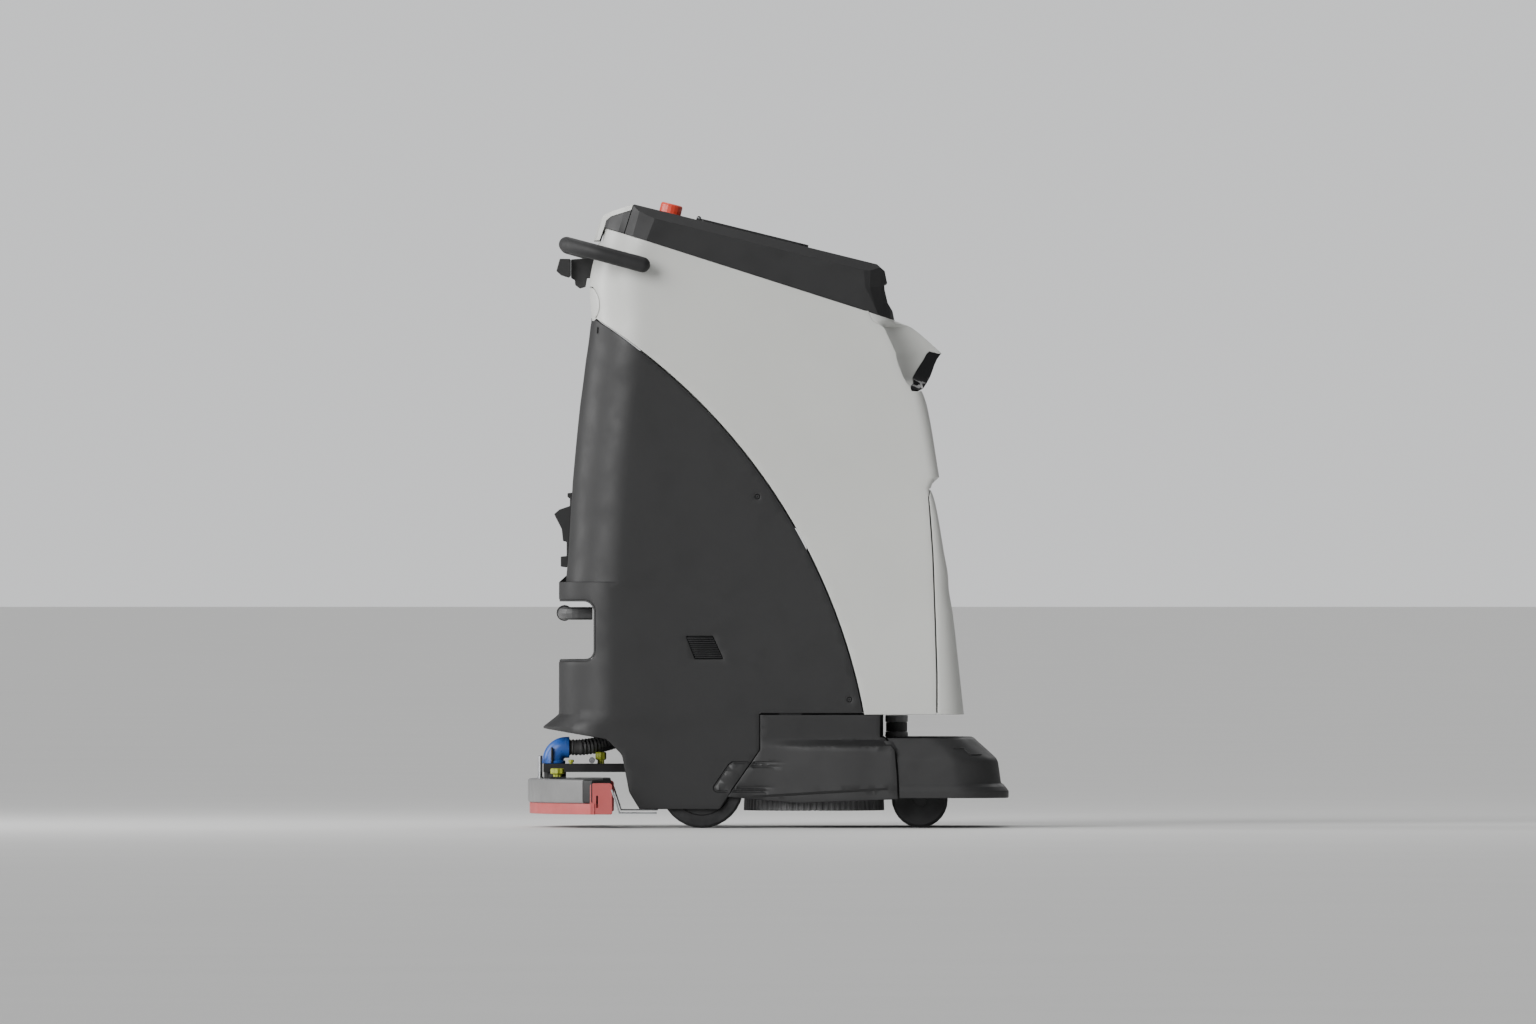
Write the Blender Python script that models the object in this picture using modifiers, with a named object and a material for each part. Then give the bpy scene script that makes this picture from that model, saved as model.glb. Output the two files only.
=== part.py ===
"""Robotic wet floor scrubber: one named object for each physical piece.

Metres, +Z up, +X towards the front of the machine, +Y to its left. The origin is on the floor, under the
middle of the machine. The squeegee and the brushes are at rest in their raised, parked position.
"""

import math

import bmesh
import bpy
from mathutils import Matrix, Vector

# ---------------------------------------------------------------- driving dimensions
GAP = 0.0003              # seat between two pieces that touch
SEAM = 0.0024             # visible joint line between two body panels
WALL = 0.004              # moulded casing thickness

BODY_WIDTH = 0.540
DRAFT = math.tan(math.radians(1.0))
REAR_X = -0.377           # rear face of the body at the skirt line
FRONT_X = 0.353           # front face of the body at the skirt line
SKIRT_TOP = 0.2043        # level where the upper casing ends
SKIRT_BOTTOM = 0.034
FLARE = 0.028             # how far the rear skirt lip stands out
LEDGE_Z = 0.4425          # step across the rear, over the hose shelf
REAR_CORNER = 0.100       # plan radius of the rear corners
GROOVE_Z = 0.610          # groove across the front, between shell and front panel

TOP_X = -0.2934           # rear end of the sloping top edge
TOP_Z = 1.081
TOP_SLOPE = math.radians(17.7)
ARC_X = -0.881            # centre of the round joint line between light shell and dark side
ARC_Z = 0.0097
ARC_R = 1.0712

COVER_HALF = 0.2535       # top cover, half its width
COVER_CHAMFER = 0.016
COVER_SKIN = 0.006
COVER_SIDE = 0.014
COVER_SEAM_U = 0.0366     # joint between console and cover, along the top edge
COVER_REAR_TOP = 0.0562
COVER_FRONT_TOP = 0.0863
COVER_FRONT_U = 0.4864
COVER_LENGTH = 0.5470

ESTOP_U = 0.1024
ESTOP_R = 0.020
SCREEN_SIZE = (0.0500, 0.1550, 0.0065)
HATCH_LENGTH = 0.204
HATCH_WIDTH = 0.200
HATCH_THICK = 0.0045
HATCH_PIN_R = 0.0020
HATCH_START = 0.1190      # the hatch hinge, along the cover's top face
HATCH_EAR_Y = 0.060
HATCH_EAR_W = 0.010
HATCH_EAR_R = 0.0042
HATCH_EAR_V = 0.0048

HANDLE_R = 0.014
HANDLE_SIDE_GAP = 0.015   # between a handle arm and the casing
HANDLE_FRONT_X = -0.2124
HANDLE_BACK_X = -0.363
HANDLE_RISE = 0.27
HANDLE_CORNER = 0.070

DRIVE_X = -0.119
DRIVE_Y = 0.238
DRIVE_R = 0.075
DRIVE_HUB_R = 0.052
DRIVE_WIDTH = 0.045
AXLE_R = 0.008

CASTER_STEM_X = 0.304
CASTER_TRAIL = 0.030
CASTER_Y = 0.190
CASTER_R = 0.050
CASTER_WIDTH = 0.028
CASTER_PIN_R = 0.005

DECK_Z = 0.208            # underside of the chassis floor plate
DECK_THICK = 0.010
NOSE_Z = 0.128            # underside of the low front plate, which carries bumper and casters
NOSE_BACK_X = 0.200
NOSE_FRONT_X = 0.385

BRUSH_X = 0.083
BRUSH_Y = 0.130
BRUSH_R = 0.127
BRUSH_BOTTOM = 0.0306     # raised 29 mm over the working position
BRISTLE_LENGTH = 0.0276
HOUSING_Z = 0.080

BUMPER_HALF = 0.300
BUMPER_TOP = 0.162
BUMPER_BOTTOM = 0.054
BUMPER_FRONT_X = 0.4340
BUMPER_GAP = 0.003
BUMPER_CORNER = 0.090
BUMPER_BACK_X = 0.100     # where the bumper's sides start, before the joint with the side covers cuts them

LIDAR_X = 0.2325
LIDAR_R = 0.0205
LIDAR_BASE = 0.024

SQUEEGEE_R = 0.540        # plan radius of the curved squeegee, rear face
SQUEEGEE_REAR_X = -0.4340
SQUEEGEE_HALF = 0.325
SQUEEGEE_DEPTH = 0.042
SQUEEGEE_Z = 0.0445
SQUEEGEE_TOP = 0.0875
BLADE_BOTTOM = 0.0247
BLADE_HALF = 0.338
BLADE_THICK = 0.0035
ARM_Z = 0.099
ARM_THICK = 0.015
ARM_HALF = 0.035
HOSE_R = 0.015
LIFT_X = -0.219
KNOB_R = 0.0126
KNOB_Y = 0.100
KNOB_X = -0.380

SHELF_TOP = 0.4077        # recess across the rear, where the drain hose is stowed
SHELF_BOTTOM = 0.3024
SHELF_FRONT_X = -0.3141
SHELF_CORNER = 0.018
LINER = 0.003
DRAIN_R = 0.0115

TANK_SPLIT_Z = 0.540      # top of the solution tank, where the recovery tank stands
TANK_TOP = 0.860

# Horizontal sections of the casing: height, rear x, front x, and how far the front corner is cut
# back along the side and across the front. A negative bulge makes the corner hollow.
BODY_SECTIONS = (
    (0.020, REAR_X - FLARE, FRONT_X, 0.045, 0.045, 1),
    (SKIRT_TOP - 0.022, REAR_X - FLARE, FRONT_X, 0.045, 0.045, 1),
    (SKIRT_TOP, REAR_X, FRONT_X, 0.045, 0.045, 1),
    (0.382, REAR_X, FRONT_X - 0.0195, 0.032, 0.032, 1),
    (LEDGE_Z, REAR_X, FRONT_X - 0.028, 0.026, 0.026, 1),
    (LEDGE_Z + 0.001, REAR_X + 0.0125, FRONT_X - 0.028, 0.026, 0.026, 1),
    (0.497, REAR_X + 0.0170, FRONT_X - 0.0362, 0.020, 0.020, 1),
    (0.591, REAR_X + 0.0225, FRONT_X - 0.0533, 0.012, 0.012, 1),
    (GROOVE_Z, REAR_X + 0.0240, FRONT_X - 0.0605, 0.012, 0.012, 1),
    (GROOVE_Z + 0.010, REAR_X + 0.0245, FRONT_X - 0.0571, 0.012, 0.012, 1),
    (GROOVE_Z + 0.022, REAR_X + 0.0255, FRONT_X - 0.0445, 0.020, 0.020, 1),
    (0.765, REAR_X + 0.0385, FRONT_X - 0.0677, 0.022, 0.022, 1),
    (0.7866, REAR_X + 0.0415, FRONT_X - 0.0758, 0.018, 0.018, 1),
    (0.8100, REAR_X + 0.0445, FRONT_X - 0.0614, 0.047, 0.055, -1),
    (0.8424, REAR_X + 0.0485, FRONT_X - 0.0488, 0.072, 0.070, -1),
    (0.8550, REAR_X + 0.0505, FRONT_X - 0.0398, 0.083, 0.074, -1),
    (0.8838, REAR_X + 0.0545, FRONT_X - 0.0722, 0.064, 0.064, -1),
    (0.9018, REAR_X + 0.0565, FRONT_X - 0.0956, 0.050, 0.058, -1),
    (0.9135, REAR_X + 0.0585, FRONT_X - 0.1244, 0.040, 0.050, 1),
    (0.974, REAR_X + 0.0550, FRONT_X - 0.1200, 0.070, 0.070, 1),
    (1.0570, REAR_X + 0.0710, FRONT_X - 0.1180, 0.070, 0.070, 1),
    (1.0580, REAR_X + 0.0615, FRONT_X - 0.1180, 0.070, 0.070, 1),
    (1.1600, REAR_X + 0.0900, FRONT_X - 0.1180, 0.070, 0.070, 1),
)
CORNER_STEPS = 5

COLLECTION = "floor_scrubber"
CUTTERS = "cutters"

# ---------------------------------------------------------------- materials: colour, roughness, metallic
SHELL_GREY = ((0.52, 0.53, 0.50, 1.0), 0.42, 0.0)
PANEL_DARK = ((0.055, 0.056, 0.058, 1.0), 0.55, 0.0)
COVER_DARK = ((0.050, 0.051, 0.053, 1.0), 0.50, 0.0)
FRAME_STEEL = ((0.12, 0.12, 0.13, 1.0), 0.45, 0.9)
BRIGHT_STEEL = ((0.55, 0.56, 0.58, 1.0), 0.30, 1.0)
CASTING_GREY = ((0.22, 0.22, 0.22, 1.0), 0.45, 0.6)
TYRE_GREY = ((0.045, 0.045, 0.047, 1.0), 0.85, 0.0)
CASTER_GREY = ((0.10, 0.10, 0.11, 1.0), 0.60, 0.0)
STOP_RED = ((0.75, 0.05, 0.03, 1.0), 0.35, 0.0)
BLADE_RED = ((0.48, 0.07, 0.07, 1.0), 0.60, 0.0)
KNOB_LIME = ((0.50, 0.55, 0.04, 1.0), 0.45, 0.0)
ELBOW_BLUE = ((0.02, 0.07, 0.35, 1.0), 0.45, 0.0)
GLASS_BLACK = ((0.010, 0.010, 0.012, 1.0), 0.08, 0.0)
SOFT_BLACK = ((0.025, 0.025, 0.027, 1.0), 0.60, 0.0)
BRISTLE_GREY = ((0.14, 0.14, 0.15, 1.0), 0.90, 0.0)
TANK_WHITE = ((0.60, 0.62, 0.60, 1.0), 0.50, 0.0)
BATTERY_BLACK = ((0.03, 0.03, 0.035, 1.0), 0.50, 0.0)


# ---------------------------------------------------------------- helpers
def clear_scene():
    for obj in list(bpy.data.objects):
        bpy.data.objects.remove(obj, do_unlink=True)


def collection(name):
    found = bpy.data.collections.get(name)
    if found is None:
        found = bpy.data.collections.new(name)
        bpy.context.scene.collection.children.link(found)
    return found


def material(name, look):
    colour, roughness, metallic = look
    made = bpy.data.materials.new(name)
    made.use_nodes = True
    shader = made.node_tree.nodes["Principled BSDF"]
    shader.inputs["Base Color"].default_value = colour
    shader.inputs["Roughness"].default_value = roughness
    shader.inputs["Metallic"].default_value = metallic
    return made


def place(name, mesh, matrix=None):
    """Link a mesh as a helper object: a cutter, or the base of a node."""
    obj = bpy.data.objects.new(name, mesh)
    obj.matrix_world = matrix or Matrix.Identity(4)
    collection(CUTTERS).objects.link(obj)
    obj.hide_render = True
    obj.display_type = "WIRE"
    return obj


def node(obj, name, look, pivot=None, smooth=35.0):
    """Turn a helper object into a named part, with its origin on its joint where it moves."""
    collection(CUTTERS).objects.unlink(obj)
    collection(COLLECTION).objects.link(obj)
    obj.name = name
    obj.hide_render = False
    obj.display_type = "TEXTURED"
    obj.data.materials.clear()
    obj.data.materials.append(material(name, look))
    if pivot is not None:
        bpy.context.view_layer.update()
        obj.data.transform(Matrix.Translation(-Vector(pivot)) @ obj.matrix_world)
        obj.matrix_world = Matrix.Translation(Vector(pivot))
    obj.data.shade_smooth()
    obj.data.set_sharp_from_angle(angle=math.radians(smooth))
    return obj


def to_mesh(bm, name):
    bmesh.ops.remove_doubles(bm, verts=bm.verts, dist=1e-6)
    bmesh.ops.recalc_face_normals(bm, faces=bm.faces)
    mesh = bpy.data.meshes.new(name)
    bm.to_mesh(mesh)
    bm.free()
    return mesh


def boxes(name, *corners):
    """One helper object of separate boxes, each given by its low and high corner."""
    bm = bmesh.new()
    for low, high in corners:
        low, high = Vector(low), Vector(high)
        matrix = Matrix.Translation((low + high) / 2) @ Matrix.Diagonal((*(high - low), 1.0))
        bmesh.ops.create_cube(bm, size=1.0, matrix=matrix)
    return place(name, to_mesh(bm, name))


def turn_to(axis):
    """Rotation that takes +Z to the named axis."""
    return Vector((0, 0, 1)).rotation_difference(Vector(axis)).to_matrix().to_4x4()


def rod(name, radius, start, end, segments=24):
    """A round bar between two points."""
    start, end = Vector(start), Vector(end)
    bm = bmesh.new()
    bmesh.ops.create_cone(
        bm, cap_ends=True, segments=segments, radius1=radius, radius2=radius, depth=(end - start).length
    )
    return place(name, to_mesh(bm, name), Matrix.Translation((start + end) / 2) @ turn_to(end - start))


def turned(name, profile, centre, axis=(0, 0, 1), steps=32):
    """A closed section of (radius, height) points, turned round an axis. It runs down its outer side."""
    bm = bmesh.new()
    points = [bm.verts.new((radius, 0.0, height)) for radius, height in profile]
    on_axis = profile[0][0] == 0 and profile[-1][0] == 0
    for first, second in zip(points, points[1:] + ([] if on_axis else points[:1])):
        bm.edges.new((first, second))
    mesh = bpy.data.meshes.new(name)
    bm.to_mesh(mesh)
    bm.free()
    obj = place(name, mesh, Matrix.Translation(Vector(centre)) @ turn_to(axis))
    screw = obj.modifiers.new("turn", "SCREW")
    screw.steps = steps
    screw.render_steps = steps
    screw.use_merge_vertices = True
    screw.merge_threshold = 0.0001
    return obj


def filleted(corners, steps=5):
    """Outline points from (x, y, radius) corners: each corner with a radius becomes an arc."""
    outline = []
    for index, (x, y, radius) in enumerate(corners):
        here = Vector((x, y))
        if radius <= 0:
            outline.append((x, y))
            continue
        before = (Vector(corners[index - 1][:2]) - here).normalized()
        after = (Vector(corners[(index + 1) % len(corners)][:2]) - here).normalized()
        half = before.angle(after) / 2
        centre = here + (before + after).normalized() * (radius / math.sin(half))
        start = here + before * (radius / math.tan(half)) - centre
        sweep = start.angle_signed(here + after * (radius / math.tan(half)) - centre)
        for step in range(steps + 1):
            turn = Matrix.Rotation(-sweep * step / steps, 2)
            outline.append(tuple(centre + turn @ start))
    return outline


def arc(centre, radius, start, end, steps):
    """Points on a circle between two angles in degrees."""
    angles = [math.radians(start + (end - start) * step / steps) for step in range(steps + 1)]
    return [(centre[0] + radius * math.cos(a), centre[1] + radius * math.sin(a)) for a in angles]


PLANES = {
    "Y": Matrix.Rotation(math.pi / 2, 4, "X"),
    "Z": Matrix.Identity(4),
    "X": Matrix(((0, 0, 1, 0), (1, 0, 0, 0), (0, 1, 0, 0), (0, 0, 0, 1))),
}


def prism(name, outline, low, high, across="Y", frame=None):
    """A flat outline extruded from low to high: (x, z) points across Y, (x, y) across Z or (y, z) across X."""
    curve = bpy.data.curves.new(name, "CURVE")
    curve.dimensions = "2D"
    curve.fill_mode = "BOTH"
    curve.extrude = (high - low) / 2
    spline = curve.splines.new("POLY")
    spline.points.add(len(outline) - 1)
    for point, (first, second) in zip(spline.points, outline):
        point.co = (first, second, 0.0, 1.0)
    spline.use_cyclic_u = True
    middle = Vector((0, 0, 0))
    middle["XYZ".index(across)] = (low + high) / 2
    flat = place(name, curve, (frame or Matrix.Identity(4)) @ Matrix.Translation(middle) @ PLANES[across])
    return curve_to_mesh(flat)


def curve_to_mesh(obj):
    """Replace a curve object by the same shape as a welded mesh, so that it can be cut or joined."""
    bpy.context.view_layer.update()
    evaluated = obj.evaluated_get(bpy.context.evaluated_depsgraph_get())
    mesh = bpy.data.meshes.new_from_object(evaluated)
    bm = bmesh.new()
    bm.from_mesh(mesh)
    bpy.data.meshes.remove(mesh)
    name, matrix = obj.name, obj.matrix_world.copy()
    bpy.data.objects.remove(obj, do_unlink=True)
    return place(name, to_mesh(bm, name), matrix)


def tube(name, points, radius, resolution=2):
    """A round tube with filled ends through the given points."""
    curve = bpy.data.curves.new(name, "CURVE")
    curve.dimensions = "3D"
    curve.bevel_depth = radius
    curve.bevel_resolution = resolution
    curve.use_fill_caps = True
    spline = curve.splines.new("POLY")
    spline.points.add(len(points) - 1)
    for point, place_at in zip(spline.points, points):
        point.co = (*place_at, 1.0)
    return curve_to_mesh(place(name, curve))


def smooth_path(points, steps=4):
    """A Catmull-Rom curve through route points."""
    ends = [points[0], *points, points[-1]]
    path = []
    for a, b, c, d in zip(ends, ends[1:], ends[2:], ends[3:]):
        a, b, c, d = map(Vector, (a, b, c, d))
        for step in range(steps):
            t = step / steps
            path.append(0.5 * (2 * b + (c - a) * t + (2 * a - 5 * b + 4 * c - d) * t**2
                               + (3 * b - a - 3 * c + d) * t**3))
    return [tuple(p) for p in path] + [tuple(points[-1])]


def boolean(target, cutter, operation):
    """Cut, keep or join with another helper object, which stays out of the model."""
    modifier = target.modifiers.new(operation.lower(), "BOOLEAN")
    modifier.operation = operation
    modifier.object = cutter
    return target


def cut(target, *cutters):
    for cutter in cutters:
        boolean(target, cutter, "DIFFERENCE")
    return target


def keep(target, *others):
    for other in others:
        boolean(target, other, "INTERSECT")
    return target


def join(target, *others):
    for other in others:
        boolean(target, other, "UNION")
    return target


# ---------------------------------------------------------------- casing geometry
def half_width(z):
    """Half the casing's width at a height: upright at the skirt, drafted above it."""
    return BODY_WIDTH / 2 - DRAFT * max(z - SKIRT_TOP, 0.0)


def between(z, column):
    """A casing section's value at any height."""
    for low, high in zip(BODY_SECTIONS, BODY_SECTIONS[1:]):
        if low[0] <= z <= high[0]:
            share = (z - low[0]) / (high[0] - low[0])
            return low[column] + (high[column] - low[column]) * share
    return BODY_SECTIONS[-1][column]


def top_z(x):
    return TOP_Z - math.tan(TOP_SLOPE) * (x - TOP_X)


TOP_FRAME = Matrix.Translation((TOP_X, 0, TOP_Z)) @ Matrix.Rotation(TOP_SLOPE, 4, "Y")


def body_ring(section, inset):
    """Plan outline of the casing at one section, counter-clockwise, moved inwards by inset."""
    z, rear, front, along, across, bulge = section
    half = half_width(z) - inset
    rear, front = rear + inset, front - inset
    steps = [math.radians(90 * step / CORNER_STEPS) for step in range(CORNER_STEPS + 1)]
    radius = REAR_CORNER - inset
    side = []
    for a in steps:
        if bulge > 0:
            side.append((front - along * (1 - math.sin(a)), half - across * (1 - math.cos(a))))
        else:
            share = a / math.radians(90)
            hollow = 0.16 * math.sin(math.pi * share)
            side.append((front - along * (1 - share + hollow), half - across * (share + hollow)))
    back = [(rear + radius * (1 - math.cos(a)), half - radius * (1 - math.sin(a))) for a in steps]
    left = back + side
    return [(x, y, z) for x, y in reversed(left)] + [(x, -y, z) for x, y in left]


def section_at(z):
    return (z, *(between(z, column) for column in (1, 2, 3, 4)), 1)


def loft(name, rings):
    """A closed solid through horizontal rings that have the same number of points."""
    bm = bmesh.new()
    levels = [[bm.verts.new(point) for point in ring] for ring in rings]
    count = len(rings[0])
    for low, high in zip(levels, levels[1:]):
        for i in range(count):
            bm.faces.new((low[i], low[(i + 1) % count], high[(i + 1) % count], high[i]))
    bm.faces.new(list(reversed(levels[0])))
    bm.faces.new(levels[-1])
    return place(name, to_mesh(bm, name))


def walls(name, outer, inner):
    """A casing wall open at both ends: the outer rings joined to the inner ones."""
    bm = bmesh.new()
    skins = [[[bm.verts.new(point) for point in ring] for ring in rings] for rings in (outer, inner)]
    count = len(outer[0])
    for levels in skins:
        for low, high in zip(levels, levels[1:]):
            for i in range(count):
                bm.faces.new((low[i], low[(i + 1) % count], high[(i + 1) % count], high[i]))
    for level in (0, -1):
        for i in range(count):
            j = (i + 1) % count
            bm.faces.new((skins[0][level][i], skins[0][level][j], skins[1][level][j], skins[1][level][i]))
    return place(name, to_mesh(bm, name))


def casing_wall(name, outside=0.0, inside=WALL):
    outer = [body_ring(section, outside) for section in BODY_SECTIONS]
    inner = [body_ring(section, inside) for section in BODY_SECTIONS]
    return walls(name, outer, inner)


def envelope(name, inset):
    return loft(name, [body_ring(section, inset) for section in BODY_SECTIONS])


def shelf_outline(grow):
    """The hose shelf's open C outline, grown outwards."""
    top, bottom, front = SHELF_TOP + grow, SHELF_BOTTOM - grow, SHELF_FRONT_X + grow
    radius = SHELF_CORNER + grow
    back = REAR_X - 0.05
    return filleted(((back, top, 0), (front, top, radius), (front, bottom, radius), (back, bottom, 0)))


def arc_end_degrees(z):
    return math.degrees(math.asin((z - ARC_Z) / ARC_R))


def cover_seam(offset, top):
    """Joint between the dark side and the lower side cover: upright, then slanting back to the skirt."""
    return [(x + offset, z) for x, z in
            ((-0.0153, top), (-0.0153, 0.1404), (-0.0594, 0.0774), (-0.0873, SKIRT_BOTTOM))]


def dark_outline():
    """The dark side of the body: under the round joint line, down to the skirt and its wheel arch."""
    radius = ARC_R - SEAM / 2
    bottom = SKIRT_TOP + SEAM
    arch = ((-0.2315, SKIRT_BOTTOM, 0), (-0.2502, 0.0648, 0.02), (-0.2628, 0.1314, 0.02),
            (-0.2900, 0.1597, 0.01), (REAR_X - FLARE - 0.01, SKIRT_TOP - 0.0235, 0))
    return (
        arc((ARC_X, ARC_Z), radius, 66.0, arc_end_degrees(bottom), 20)
        + cover_seam(-SEAM / 2, bottom)
        + filleted(arch, 3)
        + [(REAR_X - FLARE - 0.06, SKIRT_TOP - 0.0235), (REAR_X - FLARE - 0.06, 0.95)]
    )


def under_arc_outline():
    """Everything the light shell leaves to the dark side panels."""
    return arc((ARC_X, ARC_Z), ARC_R + SEAM / 2, 75.0, arc_end_degrees(SKIRT_TOP - 0.1), 22) + [
        (REAR_X - 0.2, 0.05), (REAR_X - 0.2, 1.0)]


def front_panel_outline(shrink):
    edge = ((-0.0605, GROOVE_Z), (-0.0632, 0.594), (-0.056, 0.493), (-0.0517, 0.373), (-0.0488, 0.275),
            (-0.0488, SKIRT_TOP - 0.05))
    return [(FRONT_X + x + shrink, z - (shrink if z == GROOVE_Z else 0)) for x, z in edge] + [
        (FRONT_X + 0.1, SKIRT_TOP - 0.05), (FRONT_X + 0.1, GROOVE_Z - shrink)]


HOOD_CREASE = ((-0.1784, 0.9306), (-0.1568, 0.918), (-0.1442, 0.9036), (-0.1352, 0.882), (-0.1226, 0.8496),
               (-0.1082, 0.810), (-0.101, 0.7956), (-0.092, 0.7890))


def hood_outline(shrink):
    return [(FRONT_X + x + shrink, z + (shrink if z < 0.79 else 0)) for x, z in HOOD_CREASE] + [
        (FRONT_X + 0.05, 0.7866 + shrink), (FRONT_X + 0.05, 0.95), (FRONT_X - 0.17, 0.95)]


def window_outline(shrink):
    return [(FRONT_X - 0.0560 + shrink, 0.8585 - shrink), (FRONT_X - 0.0974 + shrink, 0.7915),
            (FRONT_X - 0.0974 + shrink, 0.78), (FRONT_X + 0.05, 0.78), (FRONT_X + 0.05, 0.8480 - shrink),
            (FRONT_X - 0.0390, 0.8530 - shrink)]


def above_top_outline():
    """Everything over the sloping top edge, with the step for the console at its rear end."""
    far = 0.6
    return [(TOP_X - 0.20, TOP_Z - 0.025), (TOP_X - 0.0050, TOP_Z - 0.025), (TOP_X - 0.0020, TOP_Z),
            (TOP_X, TOP_Z), (TOP_X + far, top_z(TOP_X + far)), (TOP_X + far, TOP_Z + 0.2),
            (TOP_X - 0.20, TOP_Z + 0.2)]


def lamp_outline(grow):
    """The long rounded rear panel, seen from behind: (y, z)."""
    height, length = 0.029 + grow, 0.212 + grow
    z = 0.945
    return (arc((length - height, z), height, 90, -90, 8) + arc((height - length, z), height, 270, 90, 8))


def vent_outline(shrink):
    return [(-0.1476 + shrink, 0.3456 - shrink), (-0.0990 - shrink, 0.3456 - shrink),
            (-0.0801 - 2 * shrink, 0.3042 + shrink), (-0.1314 + shrink / 2, 0.3042 + shrink)]


# ---------------------------------------------------------------- body panels
def body_panels():
    wide = BODY_WIDTH
    skirt = boxes("below_shell", ((-1, -wide, 0), (1, wide, SKIRT_TOP)))
    shell = cut(
        casing_wall("main_shell"),
        skirt,
        prism("below_arc", under_arc_outline(), -wide, wide),
        prism("front_opening", front_panel_outline(-SEAM / 2), -wide, wide),
        prism("hood_opening", hood_outline(-SEAM / 4), -wide, wide),
        prism("top_opening", above_top_outline(), -wide, wide),
        prism("lamp_opening", lamp_outline(SEAM / 2), -0.5, TOP_X + 0.1, "X"),
    )
    node(shell, "main_shell", SHELL_GREY)

    panel = keep(cut(casing_wall("front_panel"), skirt),
                 prism("front_area", front_panel_outline(SEAM / 2), -wide, wide))
    node(panel, "front_panel", SHELL_GREY)

    hood = cut(
        keep(casing_wall("sensor_hood"), prism("hood_area", hood_outline(SEAM / 4), -wide, wide)),
        prism("window_opening", window_outline(-GAP), -wide, wide),
        prism("over_hood", above_top_outline(), -wide, wide),
    )
    node(hood, "sensor_hood", SHELL_GREY)

    window = keep(casing_wall("camera_window"), prism("window_area", window_outline(GAP), -wide, wide),
                  prism("window_in_hood", hood_outline(SEAM / 4), -wide, wide))
    node(window, "camera_window", GLASS_BLACK)

    back = WALL + 0.003
    lamp = keep(casing_wall("rear_lamp", 0.0, back),
                prism("lamp_area", lamp_outline(-SEAM / 2), -0.5, TOP_X + 0.1, "X"))
    flange = keep(casing_wall("lamp_flange", WALL + GAP, back),
                  prism("flange_area", lamp_outline(SEAM / 2 + 0.003), -0.5, TOP_X + 0.1, "X"))
    node(join(lamp, flange), "rear_lamp", SHELL_GREY)

    half_cover = 0.150
    for side, name in ((1, "side_panel_left"), (-1, "side_panel_right")):
        inner, outer = sorted((side * (half_cover + SEAM / 2), side * wide))
        panel = cut(
            keep(casing_wall(name), prism(name + "_area", dark_outline(), inner, outer)),
            prism(name + "_shelf", shelf_outline(LINER + GAP), -wide, wide),
            prism(name + "_vent", vent_outline(0.0), inner, outer),
            prism(name + "_lamp_room", lamp_outline(SEAM / 2), -0.5, TOP_X + 0.1, "X"),
        )
        node(panel, name, PANEL_DARK)
    rear = cut(
        keep(casing_wall("rear_cover"),
             prism("rear_area", dark_outline(), -half_cover + SEAM / 2, half_cover - SEAM / 2)),
        prism("rear_shelf", shelf_outline(LINER / 2), -wide, wide),
        prism("rear_lamp_room", lamp_outline(SEAM / 2), -0.5, TOP_X + 0.1, "X"),
    )
    node(join(rear, shelf_liner()), "rear_cover", PANEL_DARK)


def shelf_liner():
    """The full-width recess for the drain hose, a C-shaped channel that ties the rear cover together."""
    return keep(
        cut(prism("shelf_liner", shelf_outline(LINER), -BODY_WIDTH, BODY_WIDTH),
            prism("shelf_room", [(x - (0.1 if x < REAR_X else 0), z) for x, z in shelf_outline(0.0)],
                  -BODY_WIDTH, BODY_WIDTH)),
        envelope("liner_limit", GAP),
    )


def vent_grilles():
    thick = 0.003
    for side, name in ((1, "vent_grille_left"), (-1, "vent_grille_right")):
        surface = side * (half_width(0.325) - 0.0006)
        low, high = sorted((surface, surface - side * thick))
        grille = prism(name, vent_outline(GAP), low, high)
        count, margin, top, bottom = 9, 0.004, 0.3456, 0.3042
        pitch = (top - bottom - 2 * margin) / (count - 0.5)
        slots = []
        for step in range(count):
            z = bottom + margin + step * pitch
            x = -0.1314 - (z - bottom) * 0.39
            slots.append(((x + margin, -BODY_WIDTH, z), (x + 0.049, BODY_WIDTH, z + pitch / 2)))
        cut(grille, boxes(name + "_slots", *slots))
        node(grille, name, PANEL_DARK)


def charge_block():
    """Charging contacts, latch and ledge on the rear door, as one moulding."""
    steps = ((-0.3625, 0.6030), (-0.3625, 0.5960), (-0.3580, 0.5935),
             (-0.3580, 0.5800), (-0.3770, 0.5735), (-0.3866, 0.5652), (-0.3728, 0.5382), (-0.3705, 0.5165),
             (-0.3640, 0.5150), (-0.3640, 0.4895), (-0.3746, 0.4885), (-0.3746, 0.4703), (-0.3660, 0.4690))
    faces = [(between(z, 1) - GAP, z) for z in (0.4690, 0.497, 0.591, 0.6040)]
    block = prism("charge_block", [*steps, *faces], -0.055, 0.055)
    node(block, "charge_block", SOFT_BLACK)


# ---------------------------------------------------------------- top: cover, hatch, stop button, console
def cover_outline():
    nose = COVER_LENGTH
    return [(COVER_SEAM_U, GAP), (COVER_SEAM_U, COVER_REAR_TOP), (COVER_FRONT_U, COVER_FRONT_TOP),
            (nose - 0.0432, 0.0786), (nose - 0.0325, 0.0594), (nose - 0.0370, 0.0561),
            (nose - 0.0330, 0.0461), (nose - 0.0205, 0.0254), (nose - 0.0080, 0.0144), (nose, GAP)]


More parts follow.
